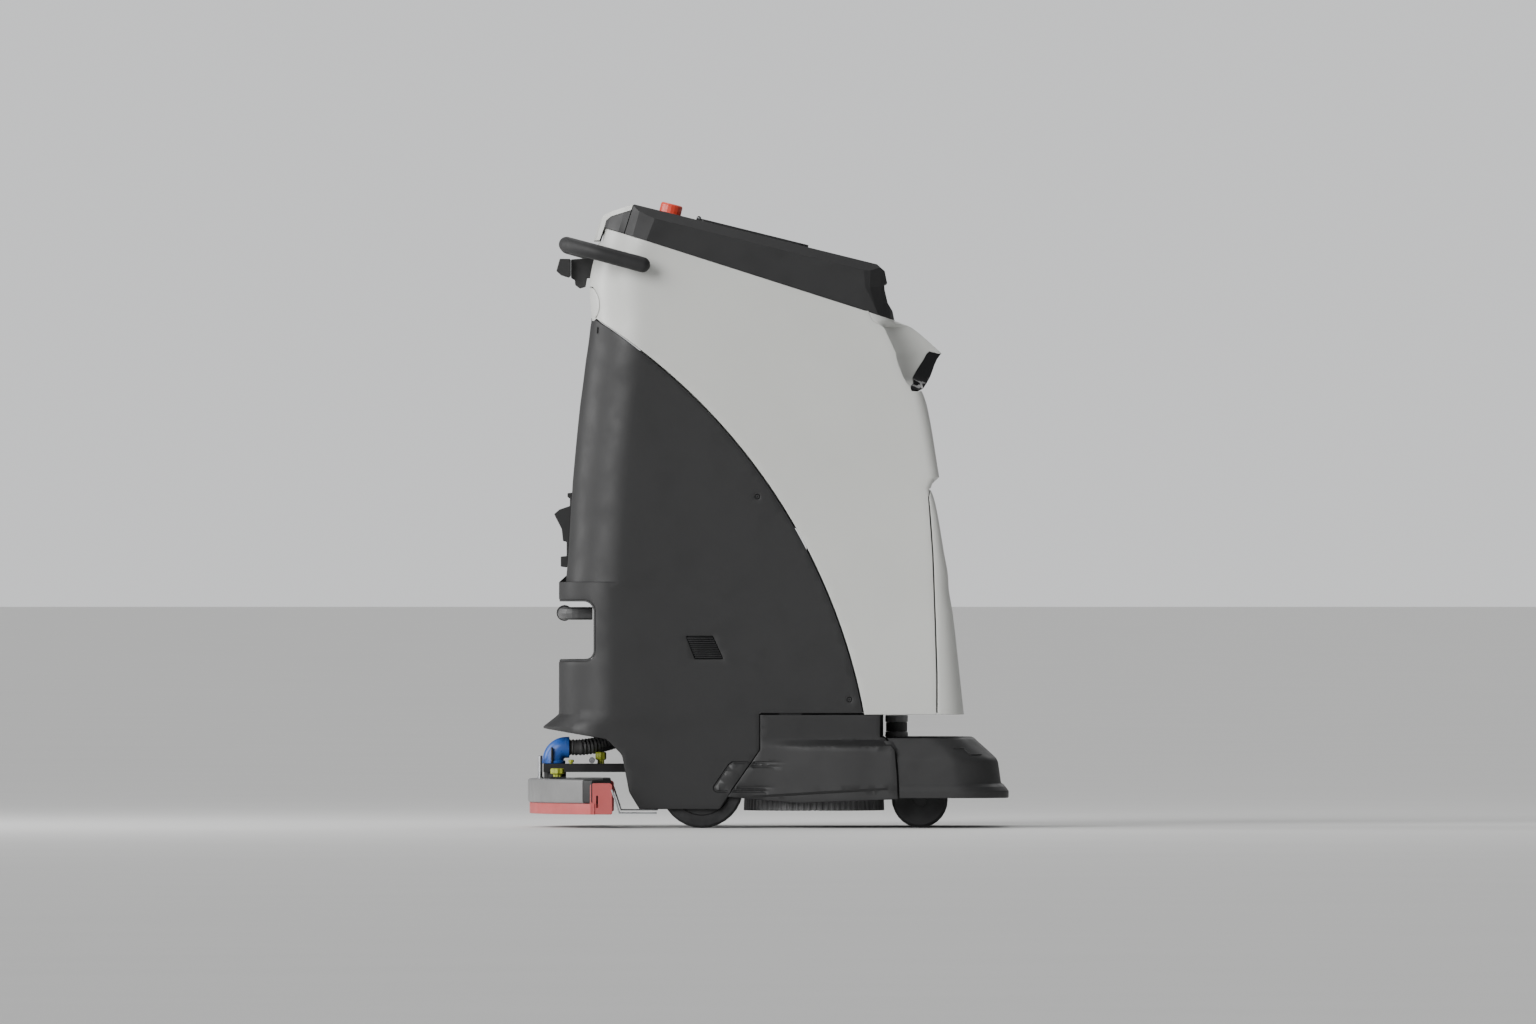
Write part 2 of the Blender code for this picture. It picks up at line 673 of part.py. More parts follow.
TOP_TILT = math.atan((COVER_FRONT_TOP - COVER_REAR_TOP) / (COVER_FRONT_U - COVER_SEAM_U))
LID_START = Matrix.Translation((COVER_SEAM_U, 0, COVER_REAR_TOP))
LID_FRAME = TOP_FRAME @ LID_START @ Matrix.Rotation(-TOP_TILT, 4, "Y")


def on_lid(u, v=0.0, y=0.0):
    """A point in space from its distance along the cover's top face and its height over it."""
    return LID_FRAME @ Vector((u, y, v))


def top_cover():
    half, drop = COVER_HALF, 0.10
    roof = [(-half, -drop), (half, -drop), (half, -COVER_CHAMFER), (half - COVER_CHAMFER, 0.001),
            (COVER_CHAMFER - half, 0.001), (-half, -COVER_CHAMFER)]
    inside = [(COVER_SEAM_U + WALL, -0.05), (COVER_SEAM_U + WALL, COVER_REAR_TOP - COVER_SKIN),
              (COVER_FRONT_U - 0.004, COVER_FRONT_TOP - COVER_SKIN - 0.001),
              (COVER_LENGTH - 0.050, 0.0700), (COVER_LENGTH - 0.043, 0.045),
              (COVER_LENGTH - 0.030, 0.0200), (COVER_LENGTH - 0.012, -0.05)]
    cover = prism("top_cover", cover_outline(), -half, half, frame=TOP_FRAME)
    keep(cover, prism("cover_roof", roof, -0.05, COVER_LENGTH, "X", frame=LID_FRAME),
         envelope("cover_limit", 0.001))
    shell_room = keep(prism("cover_room", inside, COVER_SIDE - half, half - COVER_SIDE, frame=TOP_FRAME),
                      envelope("cover_room_limit", 0.001 + COVER_SIDE))
    cut(cover, shell_room)
    well = rod("stop_well", ESTOP_R + 0.0038, on_lid(ESTOP_U - COVER_SEAM_U, -0.02),
               on_lid(ESTOP_U - COVER_SEAM_U, 0.01))
    start = HATCH_START
    mouth = prism("fill_opening", filleted(((start + 0.030, -0.075, 0.012), (start + 0.030, 0.075, 0.012),
                                            (start + HATCH_LENGTH - 0.02, 0.075, 0.012),
                                            (start + HATCH_LENGTH - 0.02, -0.075, 0.012)), 3),
                  -0.03, 0.02, "Z", frame=LID_FRAME)
    cut(cover, well, mouth)
    ear = [(start + HATCH_EAR_R, -0.001)] + arc((start, HATCH_EAR_V), HATCH_EAR_R, 0, 180, 6) + [
        (start - HATCH_EAR_R, -0.001)]
    for y in (-HATCH_EAR_Y, HATCH_EAR_Y):
        join(cover, prism("ear", ear, y - HATCH_EAR_W / 2, y + HATCH_EAR_W / 2, frame=LID_FRAME))
    for y in (-HATCH_EAR_Y, HATCH_EAR_Y):
        cut(cover, rod("ear_bore", HATCH_PIN_R + GAP, on_lid(start, HATCH_EAR_V, y - 0.02),
                       on_lid(start, HATCH_EAR_V, y + 0.02), 12))
    node(cover, "top_cover", COVER_DARK)


def fill_hatch():
    start = HATCH_START
    half = HATCH_WIDTH / 2
    lid = prism("fill_hatch", filleted(((start + 0.0055, -half, 0.004), (start + 0.0055, half, 0.004),
                                        (start + HATCH_LENGTH, half, 0.016),
                                        (start + HATCH_LENGTH, -half, 0.016)), 4),
                0.0006, 0.0006 + HATCH_THICK, "Z", frame=LID_FRAME)
    arm = prism("hatch_arm", ((start - 0.001, 0.0012), (start + 0.012, 0.0012), (start + 0.012, 0.0048),
                              (start - 0.001, 0.0058)), -0.048, 0.048, frame=LID_FRAME)
    barrel = rod("hatch_barrel", 0.0042, on_lid(start, HATCH_EAR_V, -0.048),
                 on_lid(start, HATCH_EAR_V, 0.048), 12)
    bore = rod("hatch_bore", HATCH_PIN_R + GAP, on_lid(start, HATCH_EAR_V, -0.06),
               on_lid(start, HATCH_EAR_V, 0.06), 12)
    pivot = on_lid(start, HATCH_EAR_V)
    cut(join(lid, arm, barrel), bore)
    node(lid, "fill_hatch", COVER_DARK, pivot)
    pin = rod("hatch_hinge_pin", HATCH_PIN_R, on_lid(start, HATCH_EAR_V, -HATCH_EAR_Y - 0.006),
              on_lid(start, HATCH_EAR_V, HATCH_EAR_Y + 0.006), 12)
    node(pin, "hatch_hinge_pin", BRIGHT_STEEL)


def stop_button():
    u = ESTOP_U - COVER_SEAM_U
    axis = (LID_FRAME.to_3x3() @ Vector((0, 0, 1)))
    cup_r = ESTOP_R + 0.0035
    cup = [(cup_r, 0.0012), (cup_r, -0.0180), (0.0066, -0.0180), (0.0066, -0.0080),
           (ESTOP_R + 0.0009, -0.0080), (ESTOP_R + 0.0009, 0.0012)]
    node(turned("estop_base", cup, on_lid(u), axis, 20), "estop_base", SOFT_BLACK)
    head = [(0.0, 0.0190), (ESTOP_R - 0.004, 0.0190), (ESTOP_R - 0.001, 0.0178), (ESTOP_R, 0.0150),
            (ESTOP_R, -0.0025), (0.0062, -0.0025), (0.0062, -0.0170), (0.0, -0.0170)]
    node(turned("estop_button", head, on_lid(u), axis, 20), "estop_button", STOP_RED)


CONSOLE_BAND = ((-0.0137, -0.0280), (-0.0130, -0.0126), (-0.0133, 0.0061), (-0.0103, 0.0203),
                (0.0013, 0.0316), (0.0354, 0.0560), (0.0354, 0.0445), (0.0040, 0.0230),
                (-0.0024, 0.0134), (-0.0020, 0.0004), (-0.0029, -0.0240))
CONSOLE_CORE = ((-0.0016, 0.0004), (-0.0020, 0.0134), (0.0043, 0.0225), (0.0354, 0.0440), (0.0354, 0.0004))


def console():
    """Raised control panel at the rear: a light band, a dark core and the touch screen set in both."""
    foot, head = Vector((-0.0133, 0.0, 0.0080)), Vector((0.0352, 0.0, 0.0537))
    slope = math.atan2(head.z - foot.z, head.x - foot.x)
    middle = (foot + head) / 2
    screen_frame = TOP_FRAME @ Matrix.Translation(middle) @ Matrix.Rotation(-slope, 4, "Y")
    length, width, thick = SCREEN_SIZE
    pocket = boxes("screen_pocket", ((-length / 2 - GAP, -width / 2 - GAP, -thick - 0.001 - GAP),
                                     (length / 2 + GAP, width / 2 + GAP, 0.05)))
    pocket.matrix_world = screen_frame
    limit = envelope("console_limit", 0.0006)
    for name, outline, look in (("console_bezel", CONSOLE_BAND, SHELL_GREY),
                                ("console_core", CONSOLE_CORE, COVER_DARK)):
        piece = prism(name, outline, -COVER_HALF, COVER_HALF, frame=TOP_FRAME)
        node(cut(keep(piece, limit), pocket), name, look)
    screen = boxes("touch_screen", ((-length / 2, -width / 2, -thick - 0.001),
                                    (length / 2, width / 2, -0.001)))
    screen.matrix_world = screen_frame
    node(screen, "touch_screen", GLASS_BLACK)


# ---------------------------------------------------------------- push handle
HANDLE_Z = 1.0104         # handle centre line at its front end


def handle_z(x):
    return HANDLE_Z + HANDLE_RISE * (HANDLE_FRONT_X - x)


def push_handle():
    arm_y = half_width(HANDLE_Z) + HANDLE_SIDE_GAP + HANDLE_R
    corner = [(HANDLE_BACK_X + HANDLE_CORNER * (1 - math.cos(a)), arm_y - HANDLE_CORNER * (1 - math.sin(a)))
              for a in (math.radians(90 * step / 6) for step in range(7))]
    plan = [(HANDLE_FRONT_X, arm_y), *reversed(corner)]
    route = [(x, -y, handle_z(x)) for x, y in plan] + [(x, y, handle_z(x)) for x, y in reversed(plan)]
    handle = tube("push_handle", route, HANDLE_R)
    boss_x = HANDLE_FRONT_X - 0.016
    boss_z = handle_z(boss_x)
    boss_y = half_width(HANDLE_Z) - 2 * GAP
    for side in (-1, 1):
        join(handle, rod("handle_boss", 0.010, (boss_x, side * boss_y, boss_z),
                         (boss_x, side * arm_y, boss_z), 16))
    node(handle, "push_handle", SOFT_BLACK)


def paddle():
    rear = 0.9918
    bracket = prism("handle_bracket", [
        (between(1.0290, 1) - GAP, 1.0290), (-0.3560, 1.0255), (-0.3560, rear), (-0.3492, 0.9880),
        (-0.3485, 0.9790), (-0.3400, 0.9730), (-0.3300, 0.9760), (-0.3270, rear),
        (between(rear, 1) - GAP, rear)], -0.040, 0.040)
    node(bracket, "handle_bracket", SOFT_BLACK)
    pivot = (-0.3590, 0.0, 1.0235)
    lever = [(-0.3569, 1.0262), (-0.3762, 1.0266), (-0.3825, 1.0044), (-0.3744, 0.9972),
             (-0.3600, 0.9925), (-0.3569, 0.9960)]
    node(prism("drive_paddle", lever, -0.060, 0.060), "drive_paddle", PANEL_DARK, pivot)


# ---------------------------------------------------------------- chassis, wheels and casters
def chassis():
    inset = WALL + GAP
    low, high = section_at(DECK_Z), section_at(DECK_Z + DECK_THICK)
    deck = loft("chassis_frame", [body_ring(low, inset), body_ring(high, inset)])
    nose_top = NOSE_Z + DECK_THICK
    nose_half = BODY_WIDTH / 2 - 0.012
    pieces = [
        prism("nose_plate", filleted(((NOSE_BACK_X, -nose_half, 0), (NOSE_FRONT_X, -nose_half, 0.070),
                                      (NOSE_FRONT_X, nose_half, 0.070), (NOSE_BACK_X, nose_half, 0))),
              NOSE_Z, nose_top, "Z"),
        boxes("nose_wall", ((NOSE_BACK_X, -0.15, nose_top - 0.001),
                            (NOSE_BACK_X + 0.008, 0.15, DECK_Z + 0.001))),
        rod("lidar_base", LIDAR_R + 0.001, (LIDAR_X, 0, nose_top - 0.001),
            (LIDAR_X, 0, nose_top + LIDAR_BASE), 24),
    ]
    for side in (-1, 1):
        inner = side * (DRIVE_Y - DRIVE_WIDTH / 2 - 0.010)
        y = sorted((inner, inner + side * 0.008))
        pieces.append(boxes("axle_plate", ((DRIVE_X - 0.026, y[0], DRIVE_R - 0.018),
                                           (DRIVE_X + 0.026, y[1], DECK_Z + 0.001))))
        pieces.append(rod("axle", AXLE_R, (DRIVE_X, inner + side * 0.004, DRIVE_R),
                          (DRIVE_X, side * (DRIVE_Y + DRIVE_WIDTH / 2 - 0.004), DRIVE_R), 20))
        tab = sorted((side * (BODY_WIDTH / 2 - WALL - GAP), side * (BODY_WIDTH / 2 - WALL - 0.010)))
        pieces.append(boxes("side_tab", ((0.020, tab[0], SKIRT_TOP - 0.035),
                                         (0.060, tab[1], DECK_Z + 0.001))))
    join(deck, *pieces)
    for side in (-1, 1):
        cut(deck, rod("stem_hole", 0.0083, (CASTER_STEM_X, side * CASTER_Y, NOSE_Z - 0.01),
                      (CASTER_STEM_X, side * CASTER_Y, nose_top + 0.01), 20))
    node(deck, "chassis_frame", FRAME_STEEL)


def drive_wheels():
    half = DRIVE_WIDTH / 2
    for side, name in ((1, "left"), (-1, "right")):
        centre = (DRIVE_X, side * DRIVE_Y, DRIVE_R)
        axis = (0, side, 0)
        tyre = [(DRIVE_R - 0.004, half), (DRIVE_R, half - 0.006), (DRIVE_R, 0.006 - half),
                (DRIVE_R - 0.004, -half), (DRIVE_HUB_R + GAP, -half), (DRIVE_HUB_R + GAP, half)]
        hub = [(DRIVE_HUB_R, half - 0.003), (DRIVE_HUB_R, 0.003 - half), (AXLE_R + GAP, 0.003 - half),
               (AXLE_R + GAP, half - 0.010), (0.030, half - 0.010), (0.036, half - 0.003)]
        node(turned("drive_tyre_" + name, tyre, centre, axis, 32), "drive_tyre_" + name, TYRE_GREY)
        node(turned("drive_hub_" + name, hub, centre, axis, 24), "drive_hub_" + name, CASTING_GREY)


def casters():
    axle_x = CASTER_STEM_X - CASTER_TRAIL
    leg_in, leg_out = CASTER_WIDTH / 2 + 0.002, CASTER_WIDTH / 2 + 0.006
    for side, name in ((1, "left"), (-1, "right")):
        y = side * CASTER_Y
        crown_low = 2 * CASTER_R + 0.008
        crown = boxes("caster_fork_" + name, ((CASTER_STEM_X - 0.020, y - leg_out, crown_low),
                                              (CASTER_STEM_X + 0.020, y + leg_out, NOSE_Z - GAP)))
        leg = [(CASTER_STEM_X + 0.018, crown_low + 0.002), (CASTER_STEM_X - 0.018, crown_low + 0.002)]
        leg += arc((axle_x, CASTER_R), 0.012, 150, 360, 10)
        join(crown, rod("stem", 0.008, (CASTER_STEM_X, y, NOSE_Z - 0.005),
                        (CASTER_STEM_X, y, NOSE_Z + DECK_THICK + 0.008), 20))
        for low, high in ((-leg_out, -leg_in), (leg_in, leg_out)):
            join(crown, prism("leg", leg, y + low, y + high))
        join(crown, rod("pin", CASTER_PIN_R, (axle_x, y - leg_out + 0.001, CASTER_R),
                        (axle_x, y + leg_out - 0.001, CASTER_R), 16))
        node(crown, "caster_fork_" + name, BRIGHT_STEEL, (CASTER_STEM_X, y, NOSE_Z))
        half = CASTER_WIDTH / 2
        wheel = [(CASTER_R - 0.005, half), (CASTER_R, half - 0.006), (CASTER_R, 0.006 - half),
                 (CASTER_R - 0.005, -half), (CASTER_PIN_R + GAP, -half), (CASTER_PIN_R + GAP, half)]
        node(turned("caster_wheel_" + name, wheel, (axle_x, y, CASTER_R), (0, 1, 0), 28),
             "caster_wheel_" + name, CASTER_GREY)


# ---------------------------------------------------------------- front bumper, lidar and lower side covers
def bumper_seam(offset):
    """Joint between bumper and lower side cover, seen from the side."""
    return [(NOSE_BACK_X + x + offset, z) for x, z in
            ((0.0080, BUMPER_TOP + 0.02), (0.0125, BUMPER_TOP), (0.0295, 0.1404), (0.0335, 0.0954),
             (0.0358, BUMPER_BOTTOM), (0.0362, 0.0))]


def bumper_ring(z, front_x, inset):
    """Plan outline of the bumper at one height: square behind, rounded in front."""
    half, radius, front_x = BUMPER_HALF - inset, BUMPER_CORNER - inset, front_x - inset
    angles = [math.radians(90 * step / 6) for step in range(7)]
    left = [(BUMPER_BACK_X, half)] + [
        (front_x - radius * (1 - math.sin(a)), half - radius * (1 - math.cos(a))) for a in angles]
    return [(x, -y, z) for x, y in left] + [(x, y, z) for x, y in reversed(left)]


def bumper():
    front = BUMPER_FRONT_X
    levels = ((BUMPER_BOTTOM, front - 0.0025), (BUMPER_BOTTOM + 0.0035, front), (0.0666, front),
              (0.0745, front - 0.0075), (0.0792, front - 0.0135), (0.1233, front - 0.0200),
              (BUMPER_TOP, front - 0.0630))
    skin = loft("front_bumper", [bumper_ring(z, x, 0.0) for z, x in levels])
    room = [(0.0, levels[0][1]), *levels[:-1], (BUMPER_TOP - WALL, levels[-1][1])]
    cut(skin, loft("bumper_room", [bumper_ring(z, x, WALL) for z, x in room]))
    behind = [(0.0, 0.3), (0.0, 0.0), *reversed(bumper_seam(BUMPER_GAP / 2)), (NOSE_BACK_X + 0.0125, 0.3)]
    cut(skin, prism("behind_bumper", behind, -0.5, 0.5),
        rod("lidar_room", LIDAR_R + 0.005, (LIDAR_X, 0, BUMPER_BOTTOM), (LIDAR_X, 0, 0.3), 24))
    foot_low = NOSE_Z + DECK_THICK + GAP
    for y in (-0.235, 0.235):
        join(skin, boxes("bumper_foot", ((0.335, y - 0.010, foot_low),
                                         (0.355, y + 0.010, BUMPER_TOP - 0.001))))
    node(skin, "front_bumper", SOFT_BLACK, (front, 0, 0.11))


def lidar():
    top, low = DECK_Z - 0.006, NOSE_Z + DECK_THICK + LIDAR_BASE + GAP
    profile = [(0.0, top), (LIDAR_R - 0.002, top), (LIDAR_R, top - 0.002), (LIDAR_R, low), (0.0, low)]
    node(turned("lidar_rotor", profile, (LIDAR_X, 0, 0), (0, 0, 1), 24), "lidar_rotor", GLASS_BLACK)


def lower_side_covers():
    """Covers beside the brushes: flush with the casing at the top, flared to the bumper below."""
    inner_half = BODY_WIDTH / 2 - WALL
    outer_half = BODY_WIDTH / 2
    end_x = NOSE_BACK_X + 0.06
    ledge = 0.158
    start_x = -0.12
    for side, name in ((1, "lower_cover_left"), (-1, "lower_cover_right")):
        plan = [(start_x, inner_half), (start_x, outer_half), (0.02, outer_half), (end_x, BUMPER_HALF),
                (end_x, inner_half)]
        room = [(start_x - 0.1, 0.0), (start_x - 0.1, inner_half), (0.02, inner_half),
                (end_x + 0.1, BUMPER_HALF - WALL + 0.0125), (end_x + 0.1, 0.0)]
        flare = prism(name, [(x, side * y) for x, y in plan], 0.030, ledge, "Z")
        cut(flare, prism(name + "_room", [(x, side * y) for x, y in room], 0.0, ledge - WALL, "Z"))
        y = sorted((side * inner_half, side * outer_half))
        join(flare, boxes(name + "_upper", ((start_x, y[0], ledge - WALL - 0.001),
                                            (end_x, y[1], SKIRT_TOP - GAP))))
        front_edge = [point for point in bumper_seam(-BUMPER_GAP / 2) if point[1] > BUMPER_BOTTOM - 0.001]
        outline = cover_seam(SEAM / 2, SKIRT_TOP - GAP)
        outline += [(0.056, 0.0450), (NOSE_BACK_X + 0.0358 - BUMPER_GAP / 2, 0.0513)]
        outline += [*reversed(front_edge), (NOSE_BACK_X + 0.0020, SKIRT_TOP - GAP)]
        keep(flare, prism(name + "_area", outline, -0.5, 0.5))
        node(flare, name, PANEL_DARK)


# ---------------------------------------------------------------- brush deck
def stadium(radius):
    return (arc((BRUSH_X, BRUSH_Y), radius, 0, 180, 14) + arc((BRUSH_X, -BRUSH_Y), radius, 180, 360, 14))


def brush_deck():
    plate_top = HOUSING_Z + 0.010
    housing = prism("brush_deck", stadium(BRUSH_R + 0.008), HOUSING_Z - 0.016, plate_top, "Z")
    cut(housing, prism("deck_room", stadium(BRUSH_R + 0.004), HOUSING_Z - 0.05, HOUSING_Z, "Z"))
    guides = [((BRUSH_X + low, -0.015, plate_top - 0.001), (BRUSH_X + low + 0.006, 0.015, 0.150))
              for low in (-0.0265, 0.0205)]
    join(housing, *(boxes("deck_guide", guide) for guide in guides))
    for y in (-BRUSH_Y, BRUSH_Y):
        cut(housing, rod("shaft_hole", 0.012, (BRUSH_X, y, 0.05), (BRUSH_X, y, 0.12), 20))
    node(housing, "brush_deck", CASTING_GREY, (BRUSH_X, 0, HOUSING_Z))
    actuator = boxes("deck_actuator", ((BRUSH_X - 0.020, -0.020, 0.110),
                                       (BRUSH_X + 0.020, 0.020, DECK_Z - GAP)))
    node(actuator, "deck_actuator", SOFT_BLACK)
    disc_low = BRUSH_BOTTOM + BRISTLE_LENGTH + GAP
    for y, name in ((BRUSH_Y, "left"), (-BRUSH_Y, "right")):
        motor = [(0.0, 0.160), (0.038, 0.160), (0.042, 0.156), (0.042, plate_top + GAP),
                 (0.0, plate_top + GAP)]
        node(turned("brush_motor_" + name, motor, (BRUSH_X, y, 0), (0, 0, 1), 20), "brush_motor_" + name,
             FRAME_STEEL)
        disc_top = disc_low + 0.0075
        disc = [(0.0, plate_top), (0.011, plate_top), (0.011, disc_top), (BRUSH_R - 0.007, disc_top),
                (BRUSH_R - 0.007, disc_low), (0.0, disc_low)]
        node(turned("brush_disc_" + name, disc, (BRUSH_X, y, 0), steps=28), "brush_disc_" + name, CASTER_GREY)
        top = disc_low - GAP
        bristles = [(BRUSH_R - 0.008, top), (BRUSH_R, BRUSH_BOTTOM), (0.055, BRUSH_BOTTOM), (0.060, top)]
        node(turned("bristles_" + name, bristles, (BRUSH_X, y, 0), steps=28), "bristles_" + name, BRISTLE_GREY)


# ---------------------------------------------------------------- squeegee
SQUEEGEE_CENTRE_X = SQUEEGEE_REAR_X + SQUEEGEE_R


def squeegee_band(outer, inner, half, steps=12):
    """Plan outline of a curved strip whose ends point forward."""
    def edge(radius):
        reach = math.degrees(math.asin(half / radius))
        return arc((SQUEEGEE_CENTRE_X, 0), radius, 180 - reach, 180 + reach, steps)
    return edge(outer) + list(reversed(edge(inner)))


def squeegee():
    body = prism("squeegee_body", squeegee_band(SQUEEGEE_R, SQUEEGEE_R - SQUEEGEE_DEPTH, SQUEEGEE_HALF),
                 SQUEEGEE_Z, SQUEEGEE_TOP, "Z")
    node(body, "squeegee_body", CASTING_GREY, (LIFT_X, 0, ARM_Z))
    rear_r, front_r = SQUEEGEE_R - 0.003, SQUEEGEE_R - SQUEEGEE_DEPTH + 0.007
    for name, outer in (("rear_blade", rear_r), ("front_blade", front_r)):
        blade = prism(name, squeegee_band(outer, outer - BLADE_THICK, BLADE_HALF), BLADE_BOTTOM,
                      SQUEEGEE_Z - GAP, "Z")
        node(blade, name, BLADE_RED, (LIFT_X, 0, ARM_Z))
    guide_x = LIFT_X - 0.020 - 0.0005
    elbow_x = -0.385
    arm = boxes("squeegee_arm", ((-0.406, -ARM_HALF, ARM_Z), (guide_x, ARM_HALF, ARM_Z + ARM_THICK)))
    join(arm,
         boxes("arm_guide", ((guide_x - 0.008, -ARM_HALF, ARM_Z - 0.004), (guide_x, ARM_HALF, 0.165))),
         rod("arm_neck", 0.020, (elbow_x, 0, SQUEEGEE_TOP + GAP), (elbow_x, 0, ARM_Z + 0.001), 24),
         boxes("arm_bar", ((KNOB_X - 0.014, -KNOB_Y - 0.02, SQUEEGEE_TOP + GAP),
                           (KNOB_X + 0.014, KNOB_Y + 0.02, SQUEEGEE_TOP + 0.0033))))
    node(arm, "squeegee_arm", FRAME_STEEL, (LIFT_X, 0, ARM_Z))
    for side, name in ((1, "left"), (-1, "right")):
        low = SQUEEGEE_TOP + 0.0036
        high = low + 0.0150
        profile = [(0.0, high), (KNOB_R - 0.002, high), (KNOB_R, high - 0.002), (KNOB_R, low), (0.0, low)]
        node(turned("squeegee_knob_" + name, profile, (KNOB_X, side * KNOB_Y, 0), (0, 0, 1), 16),
             "squeegee_knob_" + name, KNOB_LIME)
    low = ARM_Z + ARM_THICK + GAP
    elbow = rod("suction_elbow", 0.0225, (elbow_x, 0, low), (elbow_x, 0, 0.160), 24)
    outlet_z = 0.1435
    join(elbow, rod("outlet", HOSE_R + 0.0015, (elbow_x, 0, outlet_z), (-0.3585, 0, outlet_z), 20))
    node(elbow, "suction_elbow", ELBOW_BLUE, (LIFT_X, 0, ARM_Z))
    end_z = DECK_Z - GAP
    route = [(-0.3578, 0, outlet_z), (-0.3490, 0, outlet_z), (-0.3400, 0, outlet_z),
             (-0.3150, 0.011, 0.1465), (-0.2870, 0.032, 0.1530), (-0.2600, 0.055, 0.1630),
             (-0.2400, 0.070, 0.1750), (-0.2300, 0.076, 0.1860), (-0.2280, 0.077, end_z - 0.012),
             (-0.2280, 0.077, end_z - 0.006), (-0.2280, 0.077, end_z)]
    node(tube("suction_hose", smooth_path(route, 2), HOSE_R), "suction_hose", SOFT_BLACK)
    lift = boxes("squeegee_lift", ((LIFT_X - 0.020, -0.025, 0.060), (LIFT_X + 0.020, 0.025, DECK_Z - GAP)))
    node(lift, "squeegee_lift", SOFT_BLACK)


def drain_hose():
    """The drain hose lies across the rear shelf, held in the shelf by its root."""
    z = 0.3861
    y = 0.150
    back = REAR_X + 0.0085
    front = SHELF_FRONT_X - 0.0024
    route = [(front, -y, z), (front - 0.014, -y, z)] + [
        (back + 0.026 * (1 - math.sin(a)), -y + 0.026 * (1 - math.cos(a)), z)
        for a in (math.radians(90 * step / 5) for step in range(6))] + [(back, 0.08, z)]
    node(tube("drain_hose", route, DRAIN_R), "drain_hose", SOFT_BLACK)
    cap_r = DRAIN_R + 0.003
    cap = [(0.0, 0.036), (cap_r - 0.002, 0.036), (cap_r, 0.033), (cap_r, GAP), (0.0, GAP)]
    node(turned("drain_cap", cap, (back, 0.08, z), (0, 1, 0), 20), "drain_cap", CASTER_GREY)


# ---------------------------------------------------------------- inside the casing
def internals():
    floor = DECK_Z + DECK_THICK + GAP
    tank_half = BODY_WIDTH / 2 - 0.045
    blocks = (
        ("solution_tank", ((0.070, -tank_half, floor), (0.283, tank_half, TANK_SPLIT_Z)), TANK_WHITE),
        ("battery_pack", ((-0.190, -0.160, floor), (0.050, 0.160, 0.440)), BATTERY_BLACK),
        ("control_box", ((-0.295, -0.150, floor), (-0.215, 0.150, TANK_SPLIT_Z)), BATTERY_BLACK),
        ("recovery_tank", ((-0.290, -tank_half + 0.02, TANK_SPLIT_Z + GAP),
                           (0.240, tank_half - 0.02, TANK_TOP)), TANK_WHITE),
    )
    for name, (low, high), look in blocks:
        solid = boxes(name, (low, high))
        rounding = solid.modifiers.new("rounding", "BEVEL")
        rounding.width = 0.012
        rounding.segments = 2
        node(solid, name, look)
    motor = [(0.0, TANK_TOP + 0.090), (0.050, TANK_TOP + 0.090), (0.060, TANK_TOP + 0.080),
             (0.060, TANK_TOP + 0.040), (0.070, TANK_TOP + 0.036), (0.070, TANK_TOP + GAP),
             (0.0, TANK_TOP + GAP)]
    node(turned("vacuum_motor", motor, (-0.08, 0, 0), (0, 0, 1), 20), "vacuum_motor", BATTERY_BLACK)


def main():
    clear_scene()
    body_panels()
    vent_grilles()
    charge_block()
    top_cover()
    fill_hatch()
    stop_button()
    console()
    push_handle()
    paddle()
    chassis()
    drive_wheels()
    casters()
    bumper()
    lidar()
    lower_side_covers()
    brush_deck()
    squeegee()
    drain_hose()
    internals()


main()
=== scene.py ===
"""Robotic wet floor scrubber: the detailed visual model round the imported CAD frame.

Metres, +X towards the front of the machine, +Y to its left, +Z up, as in the CAD.
"""
import math

import bmesh
import bpy
from mathutils import Matrix, Vector
from mathutils.geometry import delaunay_2d_cdt


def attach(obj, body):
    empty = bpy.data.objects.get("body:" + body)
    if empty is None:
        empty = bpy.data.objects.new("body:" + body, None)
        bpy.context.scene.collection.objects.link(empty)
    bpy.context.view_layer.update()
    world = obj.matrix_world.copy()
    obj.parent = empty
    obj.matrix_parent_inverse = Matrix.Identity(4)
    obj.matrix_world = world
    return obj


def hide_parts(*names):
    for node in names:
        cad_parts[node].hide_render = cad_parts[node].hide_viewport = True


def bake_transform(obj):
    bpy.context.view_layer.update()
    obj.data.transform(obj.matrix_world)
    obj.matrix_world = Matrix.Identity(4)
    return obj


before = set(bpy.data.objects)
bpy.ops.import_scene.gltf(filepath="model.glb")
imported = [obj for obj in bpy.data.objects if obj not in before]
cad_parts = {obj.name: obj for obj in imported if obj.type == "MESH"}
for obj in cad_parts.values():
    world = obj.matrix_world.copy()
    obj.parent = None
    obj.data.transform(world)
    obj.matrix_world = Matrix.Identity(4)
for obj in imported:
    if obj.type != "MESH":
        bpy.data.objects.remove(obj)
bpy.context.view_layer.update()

# ---------------------------------------------------------------- dimensions shared with the CAD
BODY_HALF = 0.270
DRAFT = math.tan(math.radians(1.0))
REAR_X, FRONT_X = -0.377, 0.353
SKIRT_TOP, SKIRT_BOTTOM = 0.2043, 0.034
FLARE, FLARE_Z = 0.028, SKIRT_TOP - 0.022
REAR_CORNER = 0.100
GROOVE_Z, BROW_Z = 0.610, 0.7866
SEAM = 0.0024
WALL = 0.004
TOP_X, TOP_Z, TOP_SLOPE = -0.2934, 1.081, math.radians(17.7)
ARC_X, ARC_Z, ARC_R = -0.881, 0.0097, 1.0712
SHELF_TOP, SHELF_BOTTOM, SHELF_FRONT_X, SHELF_CORNER = 0.4077, 0.3024, -0.3141, 0.018
LEDGE_Z = 0.4425
HANDLE_LEVEL = 1.0104     # centre of the handle's front end
